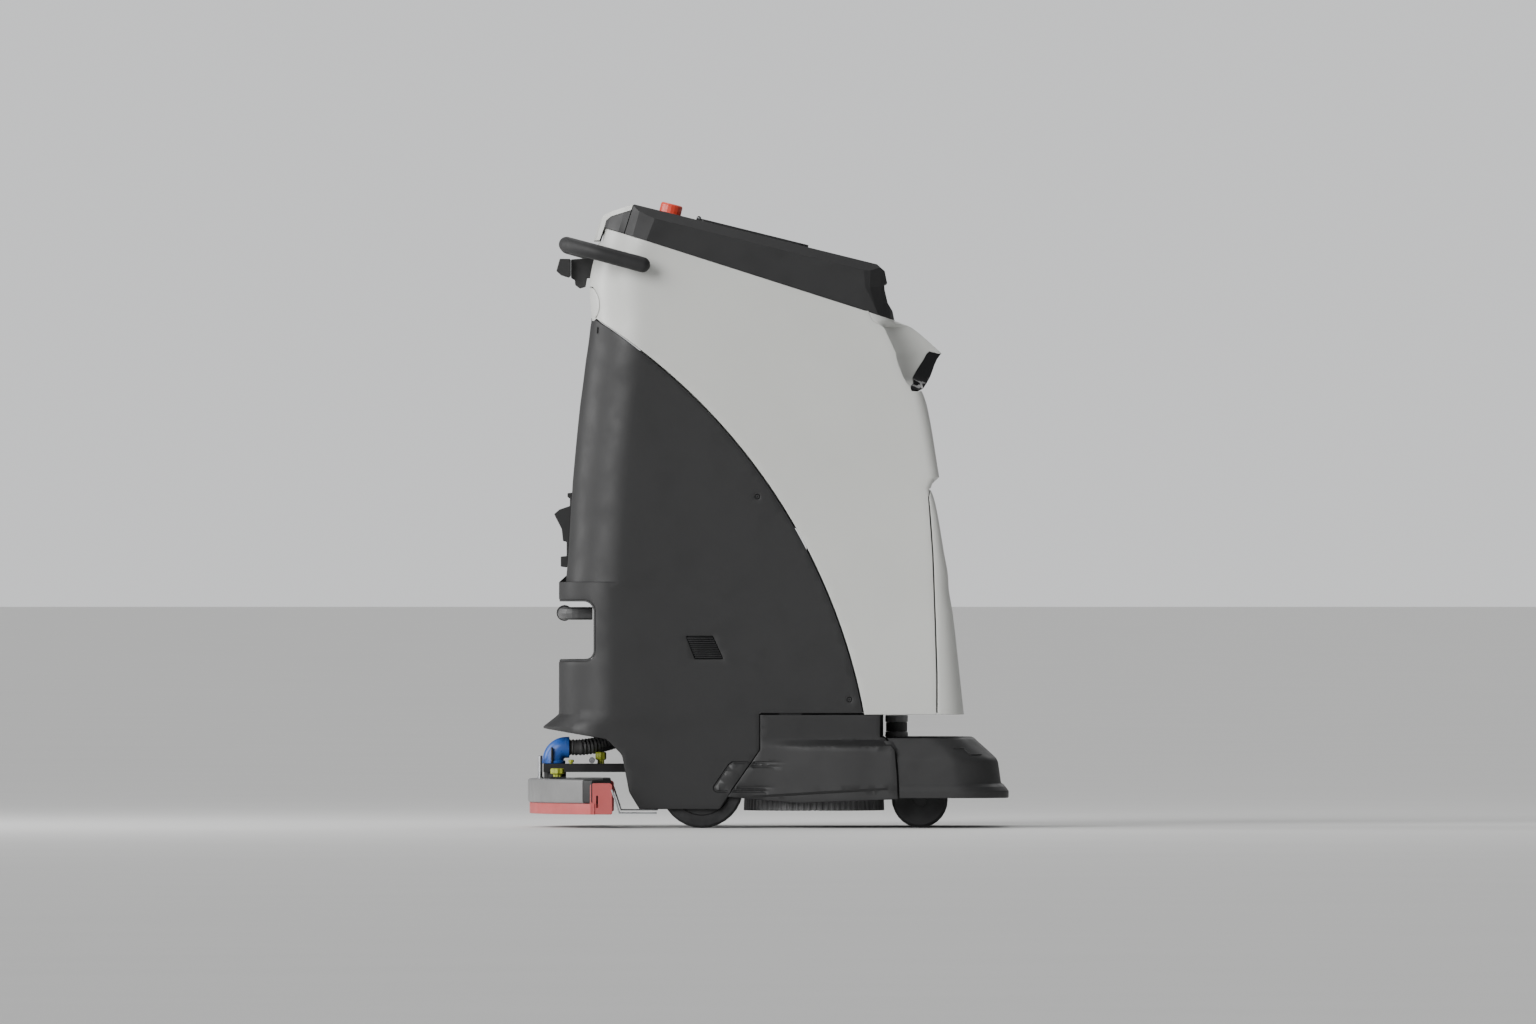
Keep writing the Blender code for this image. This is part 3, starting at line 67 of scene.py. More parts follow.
EDGE_R = 0.0012           # rounding of the panels' edges
JOIN = 2e-4               # outline points closer than this are one point

# Casing sections: height, rear x, front x, front corner's length along the side and across the front,
# and how hollow that corner is.
SECTIONS = (
    (0.020, REAR_X - FLARE, FRONT_X, 0.045, 0.045, 0),
    (FLARE_Z, REAR_X - FLARE, FRONT_X, 0.045, 0.045, 0),
    (SKIRT_TOP, REAR_X, FRONT_X, 0.045, 0.045, 0),
    (0.382, REAR_X, FRONT_X - 0.0195, 0.032, 0.032, 0),
    (LEDGE_Z, REAR_X, FRONT_X - 0.028, 0.026, 0.026, 0),
    (LEDGE_Z + 0.001, REAR_X + 0.0125, FRONT_X - 0.028, 0.026, 0.026, 0),
    (0.497, REAR_X + 0.0170, FRONT_X - 0.0362, 0.020, 0.020, 0),
    (0.591, REAR_X + 0.0225, FRONT_X - 0.0533, 0.012, 0.012, 0),
    (GROOVE_Z, REAR_X + 0.0240, FRONT_X - 0.0605, 0.012, 0.012, 0),
    (GROOVE_Z + 0.010, REAR_X + 0.0245, FRONT_X - 0.0571, 0.012, 0.012, 0),
    (GROOVE_Z + 0.022, REAR_X + 0.0255, FRONT_X - 0.0445, 0.020, 0.020, 0),
    (0.765, REAR_X + 0.0385, FRONT_X - 0.0677, 0.022, 0.022, 0),
    (BROW_Z, REAR_X + 0.0415, FRONT_X - 0.0758, 0.018, 0.018, 0),
    (0.8100, REAR_X + 0.0445, FRONT_X - 0.0614, 0.047, 0.055, 1),
    (0.8424, REAR_X + 0.0485, FRONT_X - 0.0488, 0.072, 0.070, 1),
    (0.8550, REAR_X + 0.0505, FRONT_X - 0.0398, 0.083, 0.074, 1),
    (0.8838, REAR_X + 0.0545, FRONT_X - 0.0722, 0.064, 0.064, 1),
    (0.9018, REAR_X + 0.0565, FRONT_X - 0.0956, 0.050, 0.058, 1),
    (0.9135, REAR_X + 0.0585, FRONT_X - 0.1244, 0.040, 0.050, 0),
    (0.974, REAR_X + 0.0550, FRONT_X - 0.1200, 0.070, 0.070, 0),
    (1.0580, REAR_X + 0.0712, FRONT_X - 0.1180, 0.070, 0.070, 0),
    (1.1600, REAR_X + 0.0950, FRONT_X - 0.1180, 0.070, 0.070, 0),
)
REAR, FRONT, ALONG, ACROSS, HOLLOW = 1, 2, 3, 4, 5
REAR_CREASES = (FLARE_Z, SKIRT_TOP, LEDGE_Z, LEDGE_Z + 0.001)
FRONT_CREASES = (FLARE_Z, SKIRT_TOP, GROOVE_Z, GROOVE_Z + 0.010, GROOVE_Z + 0.022, BROW_Z, 0.8550, 0.9135)
SIDES = ((1, "left"), (-1, "right"))


# ---------------------------------------------------------------- the casing's surface
def column(z, key):
    """A section value at any height: a smooth curve through the sections, broken at the creases."""
    last = len(SECTIONS) - 1
    z = min(max(z, SECTIONS[0][0]), SECTIONS[last][0])
    i = next(k for k in range(last) if z <= SECTIONS[k + 1][0])
    (z0, v0), (z1, v1) = ((SECTIONS[k][0], SECTIONS[k][key]) for k in (i, i + 1))
    creases = REAR_CREASES if key == REAR else FRONT_CREASES
    chord = (v1 - v0) / (z1 - z0)
    slopes = []
    for k, corner in ((i, z0), (i + 1, z1)):
        if corner in creases or k == 0 or k == last or key == HOLLOW:
            slopes.append(chord)
            continue
        before = (SECTIONS[k][key] - SECTIONS[k - 1][key]) / (SECTIONS[k][0] - SECTIONS[k - 1][0])
        after = (SECTIONS[k + 1][key] - SECTIONS[k][key]) / (SECTIONS[k + 1][0] - SECTIONS[k][0])
        slopes.append(0.0 if before * after <= 0 else 2 * before * after / (before + after))
    t = (z - z0) / (z1 - z0)
    h = z1 - z0
    return ((2 * t**3 - 3 * t**2 + 1) * v0 + (t**3 - 2 * t**2 + t) * h * slopes[0]
            + (3 * t**2 - 2 * t**3) * v1 + (t**3 - t**2) * h * slopes[1])


def half_width(z):
    return BODY_HALF - DRAFT * max(z - SKIRT_TOP, 0.0)


def spans(z):
    """Where the unrolled casing turns: rear centre, rear corner, front corner start and end, front centre."""
    rear_corner = column(z, REAR) + REAR_CORNER
    front_corner = column(z, FRONT) - column(z, ALONG)
    turn = 0.8 * (column(z, ALONG) + column(z, ACROSS))
    half = half_width(z)
    return (rear_corner - REAR_CORNER * math.pi / 2 - (half - REAR_CORNER), rear_corner, front_corner,
            front_corner + turn, front_corner + turn + half - column(z, ACROSS))


def surface(u, z):
    """Point of the casing's left half: u is x along the side, and runs on round the corners."""
    first, rear_corner, front_corner, front_flat, last = spans(z)
    half = half_width(z)
    if u < rear_corner:
        angle = (rear_corner - u) / REAR_CORNER
        if angle < math.pi / 2:
            return Vector((rear_corner - REAR_CORNER * math.sin(angle),
                           half - REAR_CORNER * (1 - math.cos(angle)), z))
        return Vector((rear_corner - REAR_CORNER, max(u - first, 0.0), z))
    if u <= front_corner:
        return Vector((u, half, z))
    along, across, front = column(z, ALONG), column(z, ACROSS), column(z, FRONT)
    if u < front_flat:
        t = (u - front_corner) / (front_flat - front_corner)
        a = t * math.pi / 2
        hollow = 0.16 * math.sin(math.pi * t)
        convex = Vector((front - along * (1 - math.sin(a)), half - across * (1 - math.cos(a)), z))
        scooped = Vector((front - along * (1 - t + hollow), half - across * (t + hollow), z))
        return convex.lerp(scooped, column(z, HOLLOW))
    return Vector((front, max(last - u, 0.0), z))


def outward(u, z):
    """The casing's outward normal, from two short steps on the surface."""
    step = 0.0006
    across = surface(u + step, z) - surface(u - step, z)
    up = surface(u, z + step) - surface(u, z - step)
    normal = up.cross(across)
    if normal.length < 1e-12:
        return Vector((1.0 if u > 0 else -1.0, 0, 0))
    return normal.normalized()


def unroll_side(x, z):
    """u of the point that is seen at (x, z) from the left."""
    first, rear_corner, front_corner, front_flat, last = spans(z)
    if x < rear_corner:
        share = (rear_corner - x) / REAR_CORNER
        return first if share >= 1 else rear_corner - REAR_CORNER * math.asin(share)
    if x <= front_corner:
        return x
    share = 1 - (column(z, FRONT) - x) / column(z, ALONG)
    if share >= 1:
        return last
    straight = share if column(z, HOLLOW) > 0.5 else math.asin(share) / (math.pi / 2)
    return front_corner + (front_flat - front_corner) * straight


def unroll_rear(y, z):
    """u of the point that is seen at (y, z) from behind."""
    first, rear_corner = spans(z)[:2]
    flat = half_width(z) - REAR_CORNER
    if y <= flat:
        return first + y
    return rear_corner - REAR_CORNER * math.acos(min(1.0, max(0.0, 1 - (half_width(z) - y) / REAR_CORNER)))


def top_z(x):
    return TOP_Z - math.tan(TOP_SLOPE) * (x - TOP_X)


# ---------------------------------------------------------------- outlines
def angles(start, end, steps):
    return [math.radians(start + (end - start) * step / steps) for step in range(steps + 1)]


def arc(centre, radius, start, end, steps):
    """Points of an arc, from one angle to another in degrees."""
    return [(centre[0] + radius * math.cos(a), centre[1] + radius * math.sin(a))
            for a in angles(start, end, steps)]


def filleted(corners, steps=5):
    """Outline points from (x, y, radius) corners: each corner with a radius becomes an arc."""
    outline = []
    for index, (x, y, radius) in enumerate(corners):
        here = Vector((x, y))
        if radius <= 0:
            outline.append((x, y))
            continue
        before = (Vector(corners[index - 1][:2]) - here).normalized()
        after = (Vector(corners[(index + 1) % len(corners)][:2]) - here).normalized()
        half = before.angle(after) / 2
        centre = here + (before + after).normalized() * (radius / math.sin(half))
        start = here + before * (radius / math.tan(half)) - centre
        sweep = start.angle_signed(here + after * (radius / math.tan(half)) - centre)
        for step in range(steps + 1):
            turn = Matrix.Rotation(-sweep * step / steps, 2)
            outline.append(tuple(centre + turn @ start))
    return outline


def dense(points, step=0.006):
    """The open line through the points, with extra points so that no gap is longer than step."""
    line = [tuple(points[0])]
    for a, b in zip(points, points[1:]):
        count = max(1, math.ceil(math.dist(a, b) / step))
        line += [(a[0] + (b[0] - a[0]) * k / count, a[1] + (b[1] - a[1]) * k / count)
                 for k in range(1, count + 1)]
    return line


def arc_line(offset, z_low):
    """The round joint between light shell and dark side, from its foot up to the rear face."""
    radius = ARC_R + offset
    foot = math.degrees(math.asin((z_low - ARC_Z) / radius))
    return [(x, z) for x, z in arc((ARC_X, ARC_Z), radius, foot, 62.0, 150) if x > column(z, REAR)]


def heights(start, end, creases):
    """Heights from start to end, close together and with every crease between them."""
    low, high = min(start, end), max(start, end)
    stops = sorted({start, end, *(z for z in creases if low < z < high)}, reverse=start > end)
    return [z for _, z in dense([(0.0, stop) for stop in stops], 0.010)]


def centre_line(start, end, which):
    """Points down or up the centre plane: which is 0 for the rear and 4 for the front."""
    return [(spans(z)[which], z) for z in heights(start, end, REAR_CREASES + FRONT_CREASES)]


def split_line(y, start, end):
    """Points down or up the rear, at one distance from the centre plane."""
    return [(unroll_rear(y, z), z) for z in heights(start, end, REAR_CREASES)]


def to_u(line):
    return [(unroll_side(x, z), z) for x, z in line]


def closed(*runs):
    """Join runs of points into one loop, without its double points."""
    loop = []
    for point in (point for run in runs for point in run):
        if not loop or math.dist(loop[-1], point) >= JOIN:
            loop.append(point)
    if math.dist(loop[0], loop[-1]) < JOIN:
        loop.pop()
    return loop


def on_plane(point):
    first, last = spans(point[1])[0], spans(point[1])[4]
    return abs(point[0] - first) < 1e-5 or abs(point[0] - last) < 1e-5


def signed_area(loop):
    return sum(a[0] * b[1] - b[0] * a[1] for a, b in zip(loop, loop[1:] + loop[:1])) / 2


# ---------------------------------------------------------------- panels
def inset_loop(loop, held, amount):
    """Move a closed counter-clockwise loop inwards; edges marked as held stay on their line."""
    moved = []
    count = len(loop)
    for i, point in enumerate(loop):
        before, after = Vector(loop[i - 1]), Vector(loop[(i + 1) % count])
        here = Vector(point)
        first, second = (here - before).normalized(), (after - here).normalized()
        n1, n2 = Vector((-first.y, first.x)), Vector((-second.y, second.x))
        r1 = 0.0 if held[i - 1] else amount
        r2 = 0.0 if held[i] else amount
        cross = n1.x * n2.y - n1.y * n2.x
        if abs(cross) < 0.2:
            middle = (n1 + n2).normalized()
            shift = middle * ((r1 + r2) / 2 if r1 == r2 else min(r1, r2))
        else:
            shift = Vector(((r1 * n2.y - r2 * n1.y) / cross, (n1.x * r2 - n2.x * r1) / cross))
            if shift.length > 3 * amount:
                shift = shift.normalized() * 3 * amount
        moved.append(tuple(here + shift))
    return moved


def inside(point, loop):
    x, y = point
    result = False
    for (x1, y1), (x2, y2) in zip(loop, loop[1:] + loop[:1]):
        if (y1 > y) != (y2 > y) and x < (x2 - x1) * (y - y1) / (y2 - y1) + x1:
            result = not result
    return result


def near_loop(point, loop, distance):
    px, py = point
    for (x1, y1), (x2, y2) in zip(loop, loop[1:] + loop[:1]):
        dx, dy = x2 - x1, y2 - y1
        length = dx * dx + dy * dy
        t = 0.0 if length == 0 else min(1.0, max(0.0, ((px - x1) * dx + (py - y1) * dy) / length))
        if (px - x1 - t * dx) ** 2 + (py - y1 - t * dy) ** 2 < distance * distance:
            return True
    return False


def grid_points(low_z, high_z):
    """Points of the unrolled casing, closer together in its corners, with rows on its creases."""
    levels = sorted({low_z, high_z, *(z for z in REAR_CREASES + FRONT_CREASES if low_z < z < high_z)})
    rows = []
    for a, b in zip(levels, levels[1:]):
        count = max(1, round((b - a) / 0.011))
        rows += [a + (b - a) * k / count for k in range(count)]
    points = []
    for z in rows + [high_z]:
        first, rear_corner, front_corner, front_flat, last = spans(z)
        stops = ((first, rear_corner - REAR_CORNER * math.pi / 2, 0.014),
                 (rear_corner - REAR_CORNER * math.pi / 2, rear_corner, 0.0075),
                 (rear_corner, front_corner, 0.013),
                 (front_corner, front_flat, 0.005),
                 (front_flat, last, 0.014))
        for a, b, step in stops:
            count = max(1, math.ceil((b - a) / step))
            points += [(a + (b - a) * k / count, z) for k in range(count)]
        points.append((last, z))
    return points


def panel_mesh(loop, holes=(), thickness=WALL, edge=EDGE_R, sink=0.0, relief=None, extra=()):
    """A casing panel with rounded edges: the outer skin, its rim and the inner skin, as one mesh.

    loop and holes are (u, z) outlines. An edge on the centre plane is held and stays open for the other half.
    relief(u, z) raises the surface there, and extra points carry its fine shape.
    """
    loops = []
    for points in (loop, *(hole[::-1] for hole in holes)):
        loops.append((points, [on_plane(a) and on_plane(b) for a, b in zip(points, points[1:] + points[:1])]))
    inner = [inset_loop(points, marks, edge) for points, marks in loops]
    low, high = min(p[1] for p in loop), max(p[1] for p in loop)
    verts = [Vector(point) for points in inner for point in points]
    edges, start = [], 0
    for points in inner:
        edges += [(start + k, start + (k + 1) % len(points)) for k in range(len(points))]
        start += len(points)
    fixed = len(verts)
    clear, clear_row = 0.0032, 0.0008    # room between the outlines and the skin's other points
    rows = {z: [] for z in REAR_CREASES + FRONT_CREASES}
    for point in [*grid_points(low, high), *extra]:
        row = rows.get(point[1])
        if not inside(point, inner[0]) or any(inside(point, hole) for hole in inner[1:]):
            continue
        if any(near_loop(point, points, clear if row is None else clear_row) for points in inner):
            continue
        if row is not None:
            row.append(len(verts))
        verts.append(Vector(point))
    for row in rows.values():
        edges += [(a, b) for a, b in zip(row, row[1:]) if 0 < verts[b].x - verts[a].x < 0.020]
    flat, _, faces, origins, _, _ = delaunay_2d_cdt(verts, edges, [], 1, 1e-6)
    bm = bmesh.new()
    marked = [marks[k] or marks[k - 1] for _, marks in loops for k in range(len(marks))]
    on_centre = {k for k, mark in enumerate(marked) if mark}
    old = {}
    for new_index, sources in enumerate(origins):
        for source in sources:
            if source < fixed:
                old[source] = new_index

    def lift(u, z, depth, centre):
        point = surface(u, z) - outward(u, z) * (depth + sink - (relief(u, z) if relief else 0.0))
        if centre:
            point.y = 0.0
        return point

    centre_new = {old[k] for k in on_centre if k in old}
    outer = [bm.verts.new(lift(p[0], p[1], 0.0, i in centre_new)) for i, p in enumerate(flat)]
    under = [bm.verts.new(lift(p[0], p[1], thickness, i in centre_new)) for i, p in enumerate(flat)]
    for face in faces:
        middle = (sum(flat[i][0] for i in face) / len(face), sum(flat[i][1] for i in face) / len(face))
        if not inside(middle, inner[0]) or any(inside(middle, hole) for hole in inner[1:]):
            continue
        bm.faces.new([outer[i] for i in face])
        bm.faces.new([under[i] for i in reversed(face)])
    start = 0
    for points, marks in loops:
        rings = [[outer[old[start + k]] for k in range(len(points))]]
        for a in angles(0, 90, 3)[1:]:
            ring = inset_loop(points, marks, edge * (1 - math.sin(a)) + 1e-7)
            rings.append([bm.verts.new(lift(u, z, edge * (1 - math.cos(a)), start + k in on_centre))
                          for k, (u, z) in enumerate(ring)])
        rings.append([bm.verts.new(lift(u, z, thickness, start + k in on_centre))
                      for k, (u, z) in enumerate(points)])
        rings.append([under[old[start + k]] for k in range(len(points))])
        for first, second in zip(rings, rings[1:]):
            for k in (k for k, mark in enumerate(marks) if not mark):
                j = (k + 1) % len(points)
                bm.faces.new((first[k], second[k], second[j], first[j]))
        start += len(points)
    bmesh.ops.delete(bm, geom=[v for v in bm.verts if not v.link_faces], context="VERTS")
    return bm


def mirrored(bm):
    """Add the right half, and join the two on the centre plane."""
    copy = bmesh.ops.duplicate(bm, geom=bm.verts[:] + bm.edges[:] + bm.faces[:])["geom"]
    verts = [item for item in copy if isinstance(item, bmesh.types.BMVert)]
    bmesh.ops.scale(bm, vec=(1, -1, 1), verts=verts)
    bmesh.ops.reverse_faces(bm, faces=[item for item in copy if isinstance(item, bmesh.types.BMFace)])
    bmesh.ops.remove_doubles(bm, verts=[v for v in bm.verts if abs(v.co.y) < 1e-6], dist=2e-6)
    return bm


def right_side(bm):
    """Turn a left side into a right side."""
    bmesh.ops.scale(bm, vec=(1, -1, 1), verts=bm.verts)
    bmesh.ops.reverse_faces(bm, faces=bm.faces[:])
    return bm


def link(name, data):
    obj = bpy.data.objects.new(name, data)
    bpy.context.scene.collection.objects.link(obj)
    return obj


def piece(name, bm, look, body="body", replaced=(), angle=32.0, recalc=True):
    """Link a mesh as a finished piece that rides on a body, with its normals turned outwards if asked."""
    if recalc:
        bmesh.ops.recalc_face_normals(bm, faces=bm.faces[:])
    mesh = bpy.data.meshes.new(name)
    bm.to_mesh(mesh)
    bm.free()
    obj = link(name, mesh)
    mesh.materials.append(LOOKS[look])
    mesh.shade_smooth()
    mesh.set_sharp_from_angle(angle=math.radians(angle))
    if body:
        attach(obj, body)
    if replaced:
        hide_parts(*replaced)
    return obj


def panel(name, bm, look, replaced):
    """A casing panel in place of a CAD node, in the given finish."""
    return piece(name, bm, look, replaced=[replaced], recalc=False)


# ---------------------------------------------------------------- materials
class Look:
    """A small builder for node materials: colour variation, roughness variation and surface grain."""

    def __init__(self, name, colour, roughness, metallic=0.0):
        self.material = bpy.data.materials.new(name)
        self.material.use_nodes = True
        self.tree = self.material.node_tree
        self.shader = self.tree.nodes["Principled BSDF"]
        self.shader.inputs["Base Color"].default_value = (*colour, 1.0)
        self.shader.inputs["Roughness"].default_value = roughness
        self.shader.inputs["Metallic"].default_value = metallic
        self.colour, self.roughness = colour, roughness
        self.coords = self.tree.nodes.new("ShaderNodeTexCoord").outputs["Object"]

    def node(self, kind, **inputs):
        made = self.tree.nodes.new(kind)
        for key, value in inputs.items():
            made.inputs[key.replace("_", " ")].default_value = value
        return made

    def link(self, output, socket):
        self.tree.links.new(output, socket)

    def noise(self, scale, detail=3.0, roughness=0.5, stretch=None):
        made = self.node("ShaderNodeTexNoise", Scale=scale, Detail=detail, Roughness=roughness)
        coords = self.coords
        if stretch:
            mapping = self.node("ShaderNodeMapping", Scale=stretch)
            self.link(coords, mapping.inputs["Vector"])
            coords = mapping.outputs["Vector"]
        self.link(coords, made.inputs["Vector"])
        return made.outputs["Fac"]

    def ramp(self, value, low, high, first=0.0, last=1.0):
        made = self.node("ShaderNodeMapRange")
        made.clamp = True
        self.link(value, made.inputs["Value"])
        for key, number in (("From Min", low), ("From Max", high), ("To Min", first), ("To Max", last)):
            made.inputs[key].default_value = number
        return made.outputs["Result"]

    def vary(self, scale, amount, stretch=None):
        """Slow patches a little darker than the base."""
        share = self.ramp(self.noise(scale, 4.0, stretch=stretch), 0.38, 0.66)
        made = self.tree.nodes.new("ShaderNodeMix")
        made.data_type = "RGBA"
        self.link(share, made.inputs["Factor"])
        made.inputs["A"].default_value = (*self.colour, 1.0)
        made.inputs["B"].default_value = (*(c * (1 - amount) for c in self.colour), 1.0)
        self.link(made.outputs["Result"], self.shader.inputs["Base Color"])
        return self

    def rough(self, scale, amount, detail=3.0):
        low, high = self.roughness - amount, self.roughness + amount
        share = self.ramp(self.noise(scale, detail), 0.35, 0.65, low, high)
        self.link(share, self.shader.inputs["Roughness"])
        return self

    def grain(self, scale, distance, stretch=None):
        """A fine raised grain all over."""
        value = self.noise(scale, 2.0, 0.6, stretch)
        made = self.node("ShaderNodeBump", Strength=1.0, Distance=distance)
        self.link(value, made.inputs["Height"])
        self.link(made.outputs["Normal"], self.shader.inputs["Normal"])
        return self

    def set(self, **inputs):
        """Set further inputs of the shader; an underscore stands for a space."""
        for key, value in inputs.items():
            self.shader.inputs[key.replace("_", " ")].default_value = value
        return self


COATS = {
    "shell_grey": {"Coat_Weight": 0.12, "Coat_Roughness": 0.28},
    "stop_red": {"Coat_Weight": 0.2, "Coat_Roughness": 0.25},
    "blade_red": {"Subsurface_Weight": 0.12, "Subsurface_Scale": 0.004},
    "glass_black": {"Coat_Weight": 0.4, "Coat_Roughness": 0.03},
}
FINISHES = (
    # name, colour, roughness, metallic, then scale and amount of patches and gloss, scale and depth of grain
    ("shell_grey", (0.620, 0.625, 0.598), 0.40, 0.0, (5.0, 0.035), (16.0, 0.05), (2600.0, 0.00002)),
    ("panel_dark", (0.0155, 0.0155, 0.0160), 0.54, 0.0, (7.0, 0.10), (20.0, 0.06), (1900.0, 0.00004)),
    ("cover_dark", (0.0150, 0.0150, 0.0155), 0.50, 0.0, (9.0, 0.10), (24.0, 0.06), (2100.0, 0.00003)),
    ("bumper_grey", (0.0240, 0.0240, 0.0245), 0.52, 0.0, (12.0, 0.12), (30.0, 0.07), (1500.0, 0.00004)),
    ("soft_black", (0.0150, 0.0150, 0.0155), 0.56, 0.0, (12.0, 0.14), (30.0, 0.07), (1500.0, 0.00005)),
    ("handle_black", (0.0130, 0.0130, 0.0135), 0.62, 0.0, (20.0, 0.12), (40.0, 0.06), (1300.0, 0.00007)),
    ("frame_steel", (0.022, 0.022, 0.023), 0.48, 0.2, (14.0, 0.25), (35.0, 0.12), (420.0, 0.00004)),
    ("bright_steel", (0.52, 0.53, 0.55), 0.30, 1.0, (30.0, 0.15), (60.0, 0.10), (700.0, 0.00001)),
    ("casting_grey", (0.210, 0.210, 0.210), 0.42, 0.0, (18.0, 0.10), (40.0, 0.08), (900.0, 0.00003)),
    ("tyre_grey", (0.016, 0.016, 0.017), 0.78, 0.0, (40.0, 0.30), (60.0, 0.08), (500.0, 0.00012)),
    ("caster_grey", (0.018, 0.018, 0.019), 0.62, 0.0, (30.0, 0.25), (50.0, 0.10), (600.0, 0.00006)),
    ("stop_red", (0.80, 0.062, 0.030), 0.36, 0.0, (40.0, 0.08), (60.0, 0.06), (1800.0, 0.00002)),
    ("blade_red", (0.52, 0.100, 0.098), 0.50, 0.0, (22.0, 0.12), (40.0, 0.08), (700.0, 0.00004)),
    ("knob_lime", (0.44, 0.49, 0.050), 0.40, 0.0, (60.0, 0.10), (80.0, 0.06), (1500.0, 0.00003)),
    ("elbow_blue", (0.030, 0.110, 0.44), 0.34, 0.0, (40.0, 0.15), (60.0, 0.07), (1500.0, 0.00003)),
    ("glass_black", (0.008, 0.008, 0.009), 0.07, 0.0, (20.0, 0.2), (40.0, 0.02, 2.0), (300.0, 0.000002)),
    ("bristle_grey", (0.120, 0.120, 0.122), 0.60, 0.0, (90.0, 0.35), (60.0, 0.10), (900.0, 0.0001)),
    ("tank_white", (0.55, 0.58, 0.56), 0.45, 0.0, (6.0, 0.06), (20.0, 0.05), (400.0, 0.00006)),
    ("hose_black", (0.095, 0.095, 0.096), 0.50, 0.0, (40.0, 0.2), (60.0, 0.08), (900.0, 0.00005)),
    # sensor grey: the scanner's grey lightened well past its own, as painted light, since the scanner sits in
    # shade under the casing
    ("sensor_grey_painted_light", (0.72, 0.72, 0.72), 0.45, 0.0, (30.0, 0.08), (50.0, 0.06), (1200.0, 0.00003)),
)


def make_looks():
    """Every finish on the machine; the bristles' patches and grain are drawn out along them."""
    looks = {}
    for name, colour, roughness, metallic, patches, gloss, grain in FINISHES:
        stretch = (1, 1, 0.05) if name == "bristle_grey" else None
        look = Look(name, colour, roughness, metallic).vary(*patches, stretch=stretch).rough(*gloss)
        looks[name] = look.grain(*grain, stretch=stretch).set(**COATS.get(name, {})).material
    return looks


LOOKS = make_looks()


# ---------------------------------------------------------------- CAD nodes that keep their shape
def finish_node(name, look, bevel):
    """Give a kept CAD node its finish, and round its sharp edges."""
    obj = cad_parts[name]
    for slot in obj.material_slots:
        slot.material = LOOKS[look]
    if not obj.material_slots:
        obj.data.materials.append(LOOKS[look])
    if bevel:
        weld = obj.modifiers.new("weld", "WELD")
        weld.merge_threshold = 0.00002
        flat = obj.modifiers.new("flat", "DECIMATE")
        flat.decimate_type = "DISSOLVE"
        flat.angle_limit = math.radians(1.0)
        rounded = obj.modifiers.new("rounded", "BEVEL")
        rounded.width = bevel
        rounded.segments = 2
        rounded.limit_method = "ANGLE"
        rounded.angle_limit = math.radians(30.0)
        rounded.harden_normals = True


KEPT = (
    # node or pair of nodes, finish, edge rounding
    ("charge_block", "soft_black", 0.0012), ("top_cover", "cover_dark", 0.0020),
    ("fill_hatch", "cover_dark", 0.0010), ("hatch_hinge_pin", "bright_steel", 0.0004),
    ("estop_base", "soft_black", 0.0006), ("estop_button", "stop_red", 0.0),
    ("console_bezel", "shell_grey", 0.0015), ("console_core", "cover_dark", 0.0008),
    ("touch_screen", "glass_black", 0.0005), ("handle_bracket", "soft_black", 0.0012),
    ("drive_paddle", "panel_dark", 0.0015), ("chassis_frame", "frame_steel", 0.0010),
    ("deck_actuator", "soft_black", 0.0015), ("squeegee_lift", "soft_black", 0.0015),
    ("drain_hose", "hose_black", 0.0), ("solution_tank", "tank_white", 0.0),
    ("battery_pack", "soft_black", 0.0), ("control_box", "soft_black", 0.0), ("recovery_tank", "tank_white", 0.0),
    ("vacuum_motor", "soft_black", 0.001), ("drive_tyre_*", "tyre_grey", 0.001),
    ("drive_hub_*", "caster_grey", 0.001), ("caster_fork_*", "frame_steel", 0.001),
    ("caster_wheel_*", "caster_grey", 0.001), ("brush_deck", "casting_grey", 0.001),
    ("brush_motor_*", "frame_steel", 0.001), ("brush_disc_*", "caster_grey", 0.001),
    ("squeegee_arm", "frame_steel", 0.0010), ("drain_cap", "caster_grey", 0.0008),
)


# ---------------------------------------------------------------- casing panels
FRONT_PANEL_EDGE = ((-0.0605, GROOVE_Z), (-0.0632, 0.594), (-0.056, 0.493), (-0.0517, 0.373),
                    (-0.0488, 0.275), (-0.0488, SKIRT_TOP))
HOOD_TOP, HOOD_BASE = 0.9306, 0.7890
HOOD_FOOT = HOOD_BASE + 0.0012
HOOD_START_X, HOOD_END_X = 0.1746, 0.2286
HOOD_SEAM = 0.0001        # the hood's side edge meets the shell almost without a gap


def crease_line(offset, low, high):
    """The edge where the side turns into the sensor hood, from the top down."""
    count = math.ceil((high - low) / 0.006)
    levels = [low + (high - low) * k / count for k in range(count, -1, -1)]
    return [(spans(z)[2] + offset, z) for z in levels]


def across_front(point):
    """Level points from the front's centre plane to an outline point."""
    return dense([(spans(point[1])[4], point[1]), point])


def lamp_loop(grow):
    """Outline of the long rounded rear panel's left half, counter-clockwise seen from outside."""
    height, length, middle = 0.029 + grow, 0.212 + grow, 0.945
    end = arc((length - height, middle), height, -90, 90, 24)
    return [(unroll_rear(y, z), z) for y, z in dense([(0.0, middle - height), *end, (0.0, middle + height)])]


